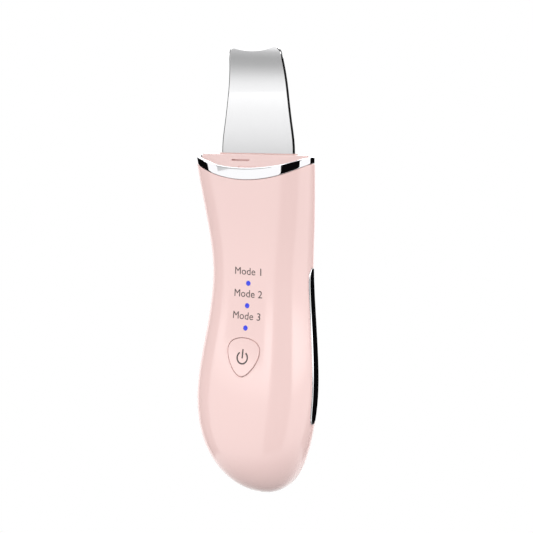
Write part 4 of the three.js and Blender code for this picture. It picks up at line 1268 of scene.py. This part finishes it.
def graded_emission(name, levels):
    """Grey light that changes with height: each level is a height in millimetres and a brightness."""
    material = plain_emission(name, (1, 1, 1, 1), BRIGHTEST)
    tree = material.node_tree
    low, high = levels[0][0], levels[-1][0]
    place = add_node(tree, "ShaderNodeTexCoord").outputs["Object"]
    rise = add_node(tree, "ShaderNodeSeparateXYZ", {"Vector": place}).outputs["Z"]
    share = add_node(tree, "ShaderNodeMapRange", {"Value": rise, "From Min": low * MM, "From Max": high * MM})
    stops = [((height - low) / (high - low), level) for height, level in levels]
    ramp = grey_ramp(tree, share.outputs["Result"], stops)
    glow = next(n for n in tree.nodes if n.type == "EMISSION")
    tree.links.new(ramp.outputs["Color"], glow.inputs["Color"])
    return material


def grey_ramp(tree, share, stops):
    """Colour ramp through (position, brightness) stops, scaled so that BRIGHTEST comes out as white."""
    ramp = add_node(tree, "ShaderNodeValToRGB", {"Fac": share})
    elements = ramp.color_ramp.elements
    elements.remove(elements[-1])
    for number, (position, level) in enumerate(stops):
        stop = elements.new(position) if number else elements[0]
        stop.color = (level / BRIGHTEST, level / BRIGHTEST, level / BRIGHTEST, 1)
    return ramp


def reflection_card(name, turns, heights, radius, material):
    """Upright curved card round the handle that only reflections see. Turns are degrees from the front."""
    turn = np.radians(np.linspace(*turns, 24))
    rows = [np.stack([radius * np.sin(turn), -radius * np.cos(turn), np.full(len(turn), z)], -1) for z in heights]
    grid = np.array(rows)
    mesh = bpy.data.meshes.new(name)
    mesh.from_pydata((grid.reshape(-1, 3) * MM).tolist(), [], grid_faces(*grid.shape[:2]))
    mesh.materials.append(material)
    card = bpy.data.objects.new(name, mesh)
    bpy.context.scene.collection.objects.link(card)
    for ray in ("camera", "diffuse", "shadow", "transmission", "volume_scatter"):
        setattr(card, f"visible_{ray}", False)
    card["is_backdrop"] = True


# What a polished piece mirrors, from straight down to straight up: elevation in degrees and brightness.
MIRRORED_STUDIO = ((-90, 0.3), (-60, 0.3), (-36, 1.1), (1, 1.1), (9, 3.4), (24, 3.4), (44, 0.8), (90, 0.6))
BRIGHTEST = 3.4
# The soft light itself, in the same terms: a band of soft boxes all round at the height of the handle.
SOFT_BAND = (
    (-90, 0.0), (-53, 0.12), (-37, 0.6), (-24, 0.9), (-12, 1.1), (0, 1.3), (12, 1.45), (24, 1.4),
    (37, 1.05), (53, 0.4), (90, 0.0),
)


def make_studio():
    _, _, studio = settings()
    bpy.context.scene.view_settings.view_transform = "Standard"
    world = bpy.data.worlds.new("white_studio")
    bpy.context.scene.world = world
    world.use_nodes = True
    tree = world.node_tree
    tree.nodes.clear()
    path = add_node(tree, "ShaderNodeLightPath")
    place = add_node(tree, "ShaderNodeTexCoord").outputs["Generated"]
    rise = add_node(tree, "ShaderNodeSeparateXYZ", {"Vector": place}).outputs["Z"]
    height = add_node(tree, "ShaderNodeMapRange", {"Value": rise, "From Min": -1.0, "From Max": 1.0})

    def by_elevation(levels):
        stops = [((math.sin(math.radians(elevation)) + 1) / 2, level) for elevation, level in levels]
        return grey_ramp(tree, height.outputs["Result"], stops).outputs["Color"]

    plain = add_node(tree, "ShaderNodeBackground", {"Color": (1, 1, 1, 1), "Strength": 1.0})
    mirrored = add_node(tree, "ShaderNodeBackground", {
        "Color": by_elevation(MIRRORED_STUDIO), "Strength": BRIGHTEST})
    lighting = add_node(tree, "ShaderNodeBackground", {
        "Color": by_elevation(SOFT_BAND), "Strength": BRIGHTEST * studio.soft})
    seen = add_node(tree, "ShaderNodeMixShader", {
        "Fac": path.outputs["Is Camera Ray"], 1: mirrored.outputs["Background"], 2: plain.outputs["Background"]})
    blend = add_node(tree, "ShaderNodeMixShader", {
        "Fac": path.outputs["Is Diffuse Ray"], 1: seen.outputs["Shader"], 2: lighting.outputs["Background"]})
    add_node(tree, "ShaderNodeOutputWorld", {"Surface": blend.outputs["Shader"]})

    floor_half = 3000
    mesh = bpy.data.meshes.new("studio_floor")
    floor_gap = 0.05
    corners = [(floor_half * x, floor_half * y) for x, y in ((-1, -1), (1, -1), (1, 1), (-1, 1))]
    mesh.from_pydata([(x * MM, y * MM, -floor_gap * MM) for x, y in corners], [], [(0, 1, 2, 3)])
    mesh.materials.append(plain_emission("pale_studio_floor", linear(studio.backdrop), 1.0))
    floor = bpy.data.objects.new("studio_floor", mesh)
    floor.visible_diffuse = False
    floor.visible_glossy = False
    bpy.context.scene.collection.objects.link(floor)
    floor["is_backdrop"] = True

    tall, black_card_radius, blade_card_radius = (-200, 420), 300, 180
    black = plain_emission("black_card", linear("#0A0A0B"), 1.0)
    for where, turns in (("left", (-105, -64)), ("camera", (0, 42)), ("right", (115, 166))):
        reflection_card(f"{where}_black_card", turns, tall, black_card_radius, black)
    levels = (
        (77, 0.7), (83, 0.58), (93, 0.47), (105, 0.52), (116, 0.68),
        (122, 0.8), (129, 0.92), (138, 1.03), (150, 1.1),
    )
    reflection_card("blade_graded_card", (-50, -10), (levels[0][0], levels[-1][0]), blade_card_radius,
                    graded_emission("blade_graded_card", levels))


# ---------------------------------------------------------------- operators


class SCRUBBER_OT_camera(bpy.types.Operator):
    """Place the camera that looks at the front from its right"""

    bl_idname = "scrubber.camera"
    bl_label = "Camera"

    def execute(self, context):
        make_camera()
        return {"FINISHED"}


class SCRUBBER_OT_inner_pieces(bpy.types.Operator):
    """Give the transducer, boards, battery, leads and screws their finishes"""

    bl_idname = "scrubber.inner_pieces"
    bl_label = "Inner pieces"

    def execute(self, context):
        make_inner_pieces()
        return {"FINISHED"}


class SCRUBBER_OT_casings(bpy.types.Operator):
    """Build the front and rear casings with their openings"""

    bl_idname = "scrubber.casings"
    bl_label = "Casings"

    def execute(self, context):
        make_casings()
        return {"FINISHED"}


class SCRUBBER_OT_rear_cover(bpy.types.Operator):
    """Build the cover plate on the back"""

    bl_idname = "scrubber.rear_cover"
    bl_label = "Rear cover plate"

    def execute(self, context):
        make_cover(bpy.data.materials["gloss_moulded_abs"])
        return {"FINISHED"}


class SCRUBBER_OT_neck_ring(bpy.types.Operator):
    """Build the bright ring round the neck"""

    bl_idname = "scrubber.neck_ring"
    bl_label = "Neck ring"

    def execute(self, context):
        make_neck_ring()
        return {"FINISHED"}


class SCRUBBER_OT_head_cap(bpy.types.Operator):
    """Build the head cap with its sloping deck and straight ridge"""

    bl_idname = "scrubber.head_cap"
    bl_label = "Head cap"

    def execute(self, context):
        make_head_cap(bpy.data.materials["gloss_moulded_abs"])
        return {"FINISHED"}


class SCRUBBER_OT_blade_seal(bpy.types.Operator):
    """Build the rubber lip round the blade's root"""

    bl_idname = "scrubber.blade_seal"
    bl_label = "Blade seal"

    def execute(self, context):
        make_seal()
        return {"FINISHED"}


class SCRUBBER_OT_blade(bpy.types.Operator):
    """Build the bent steel blade and its tang"""

    bl_idname = "scrubber.blade"
    bl_label = "Blade"

    def execute(self, context):
        make_blade()
        return {"FINISHED"}


class SCRUBBER_OT_side_contacts(bpy.types.Operator):
    """Build the bright strip down each side"""

    bl_idname = "scrubber.side_contacts"
    bl_label = "Side strips"

    def execute(self, context):
        make_side_contacts(bpy.data.materials["chrome_plated_abs"])
        return {"FINISHED"}


class SCRUBBER_OT_button(bpy.types.Operator):
    """Build the rounded-triangle power button"""

    bl_idname = "scrubber.button"
    bl_label = "Power button"

    def execute(self, context):
        make_button(bpy.data.materials["gloss_moulded_abs"])
        return {"FINISHED"}


class SCRUBBER_OT_light_pipes(bpy.types.Operator):
    """Build the three lit status lenses"""

    bl_idname = "scrubber.light_pipes"
    bl_label = "Status lights"

    def execute(self, context):
        make_light_pipes()
        return {"FINISHED"}


class SCRUBBER_OT_marks(bpy.types.Operator):
    """Lay the printed mode marks and the power symbol on the front"""

    bl_idname = "scrubber.marks"
    bl_label = "Printed marks"

    def execute(self, context):
        make_marks()
        return {"FINISHED"}


class SCRUBBER_OT_socket(bpy.types.Operator):
    """Build the charging socket and its tongue"""

    bl_idname = "scrubber.socket"
    bl_label = "Charging socket"

    def execute(self, context):
        make_socket()
        return {"FINISHED"}


class SCRUBBER_OT_studio(bpy.types.Operator):
    """Lay the pale floor and set up the soft light and the cards that reflections see"""

    bl_idname = "scrubber.studio"
    bl_label = "Studio"

    def execute(self, context):
        make_studio()
        return {"FINISHED"}


PIECE_OPERATORS = (
    SCRUBBER_OT_camera, SCRUBBER_OT_inner_pieces, SCRUBBER_OT_casings, SCRUBBER_OT_rear_cover,
    SCRUBBER_OT_neck_ring, SCRUBBER_OT_head_cap, SCRUBBER_OT_blade_seal, SCRUBBER_OT_blade,
    SCRUBBER_OT_side_contacts, SCRUBBER_OT_button, SCRUBBER_OT_light_pipes, SCRUBBER_OT_marks,
    SCRUBBER_OT_socket, SCRUBBER_OT_studio,
)


class SCRUBBER_PT_panel(bpy.types.Panel):
    """Sidebar panel that lists the pieces, the sizes and the colours"""

    bl_idname = "SCRUBBER_PT_panel"
    bl_label = "Skin scrubber"
    bl_space_type = "VIEW_3D"
    bl_region_type = "UI"
    bl_category = "Scrubber"

    def draw(self, context):
        for group in settings():
            box = self.layout.box()
            for name in group.__annotations__:
                box.prop(group, name)
        for piece in PIECE_OPERATORS:
            self.layout.operator(piece.bl_idname)


CLASSES = (ScrubberColours, ScrubberSizes, StudioSettings, *PIECE_OPERATORS, SCRUBBER_PT_panel)


def register():
    for item in CLASSES:
        bpy.utils.register_class(item)
    bpy.types.Scene.scrubber_colours = PointerProperty(type=ScrubberColours)
    bpy.types.Scene.scrubber_sizes = PointerProperty(type=ScrubberSizes)
    bpy.types.Scene.scrubber_studio = PointerProperty(type=StudioSettings)


def unregister():
    for name in ("scrubber_colours", "scrubber_sizes", "scrubber_studio"):
        delattr(bpy.types.Scene, name)
    for item in reversed(CLASSES):
        bpy.utils.unregister_class(item)


def main():
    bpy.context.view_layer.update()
    register()
    for piece in PIECE_OPERATORS:
        group, name = piece.bl_idname.split(".")
        getattr(getattr(bpy.ops, group), name)()


if __name__ == "__main__":
    main()
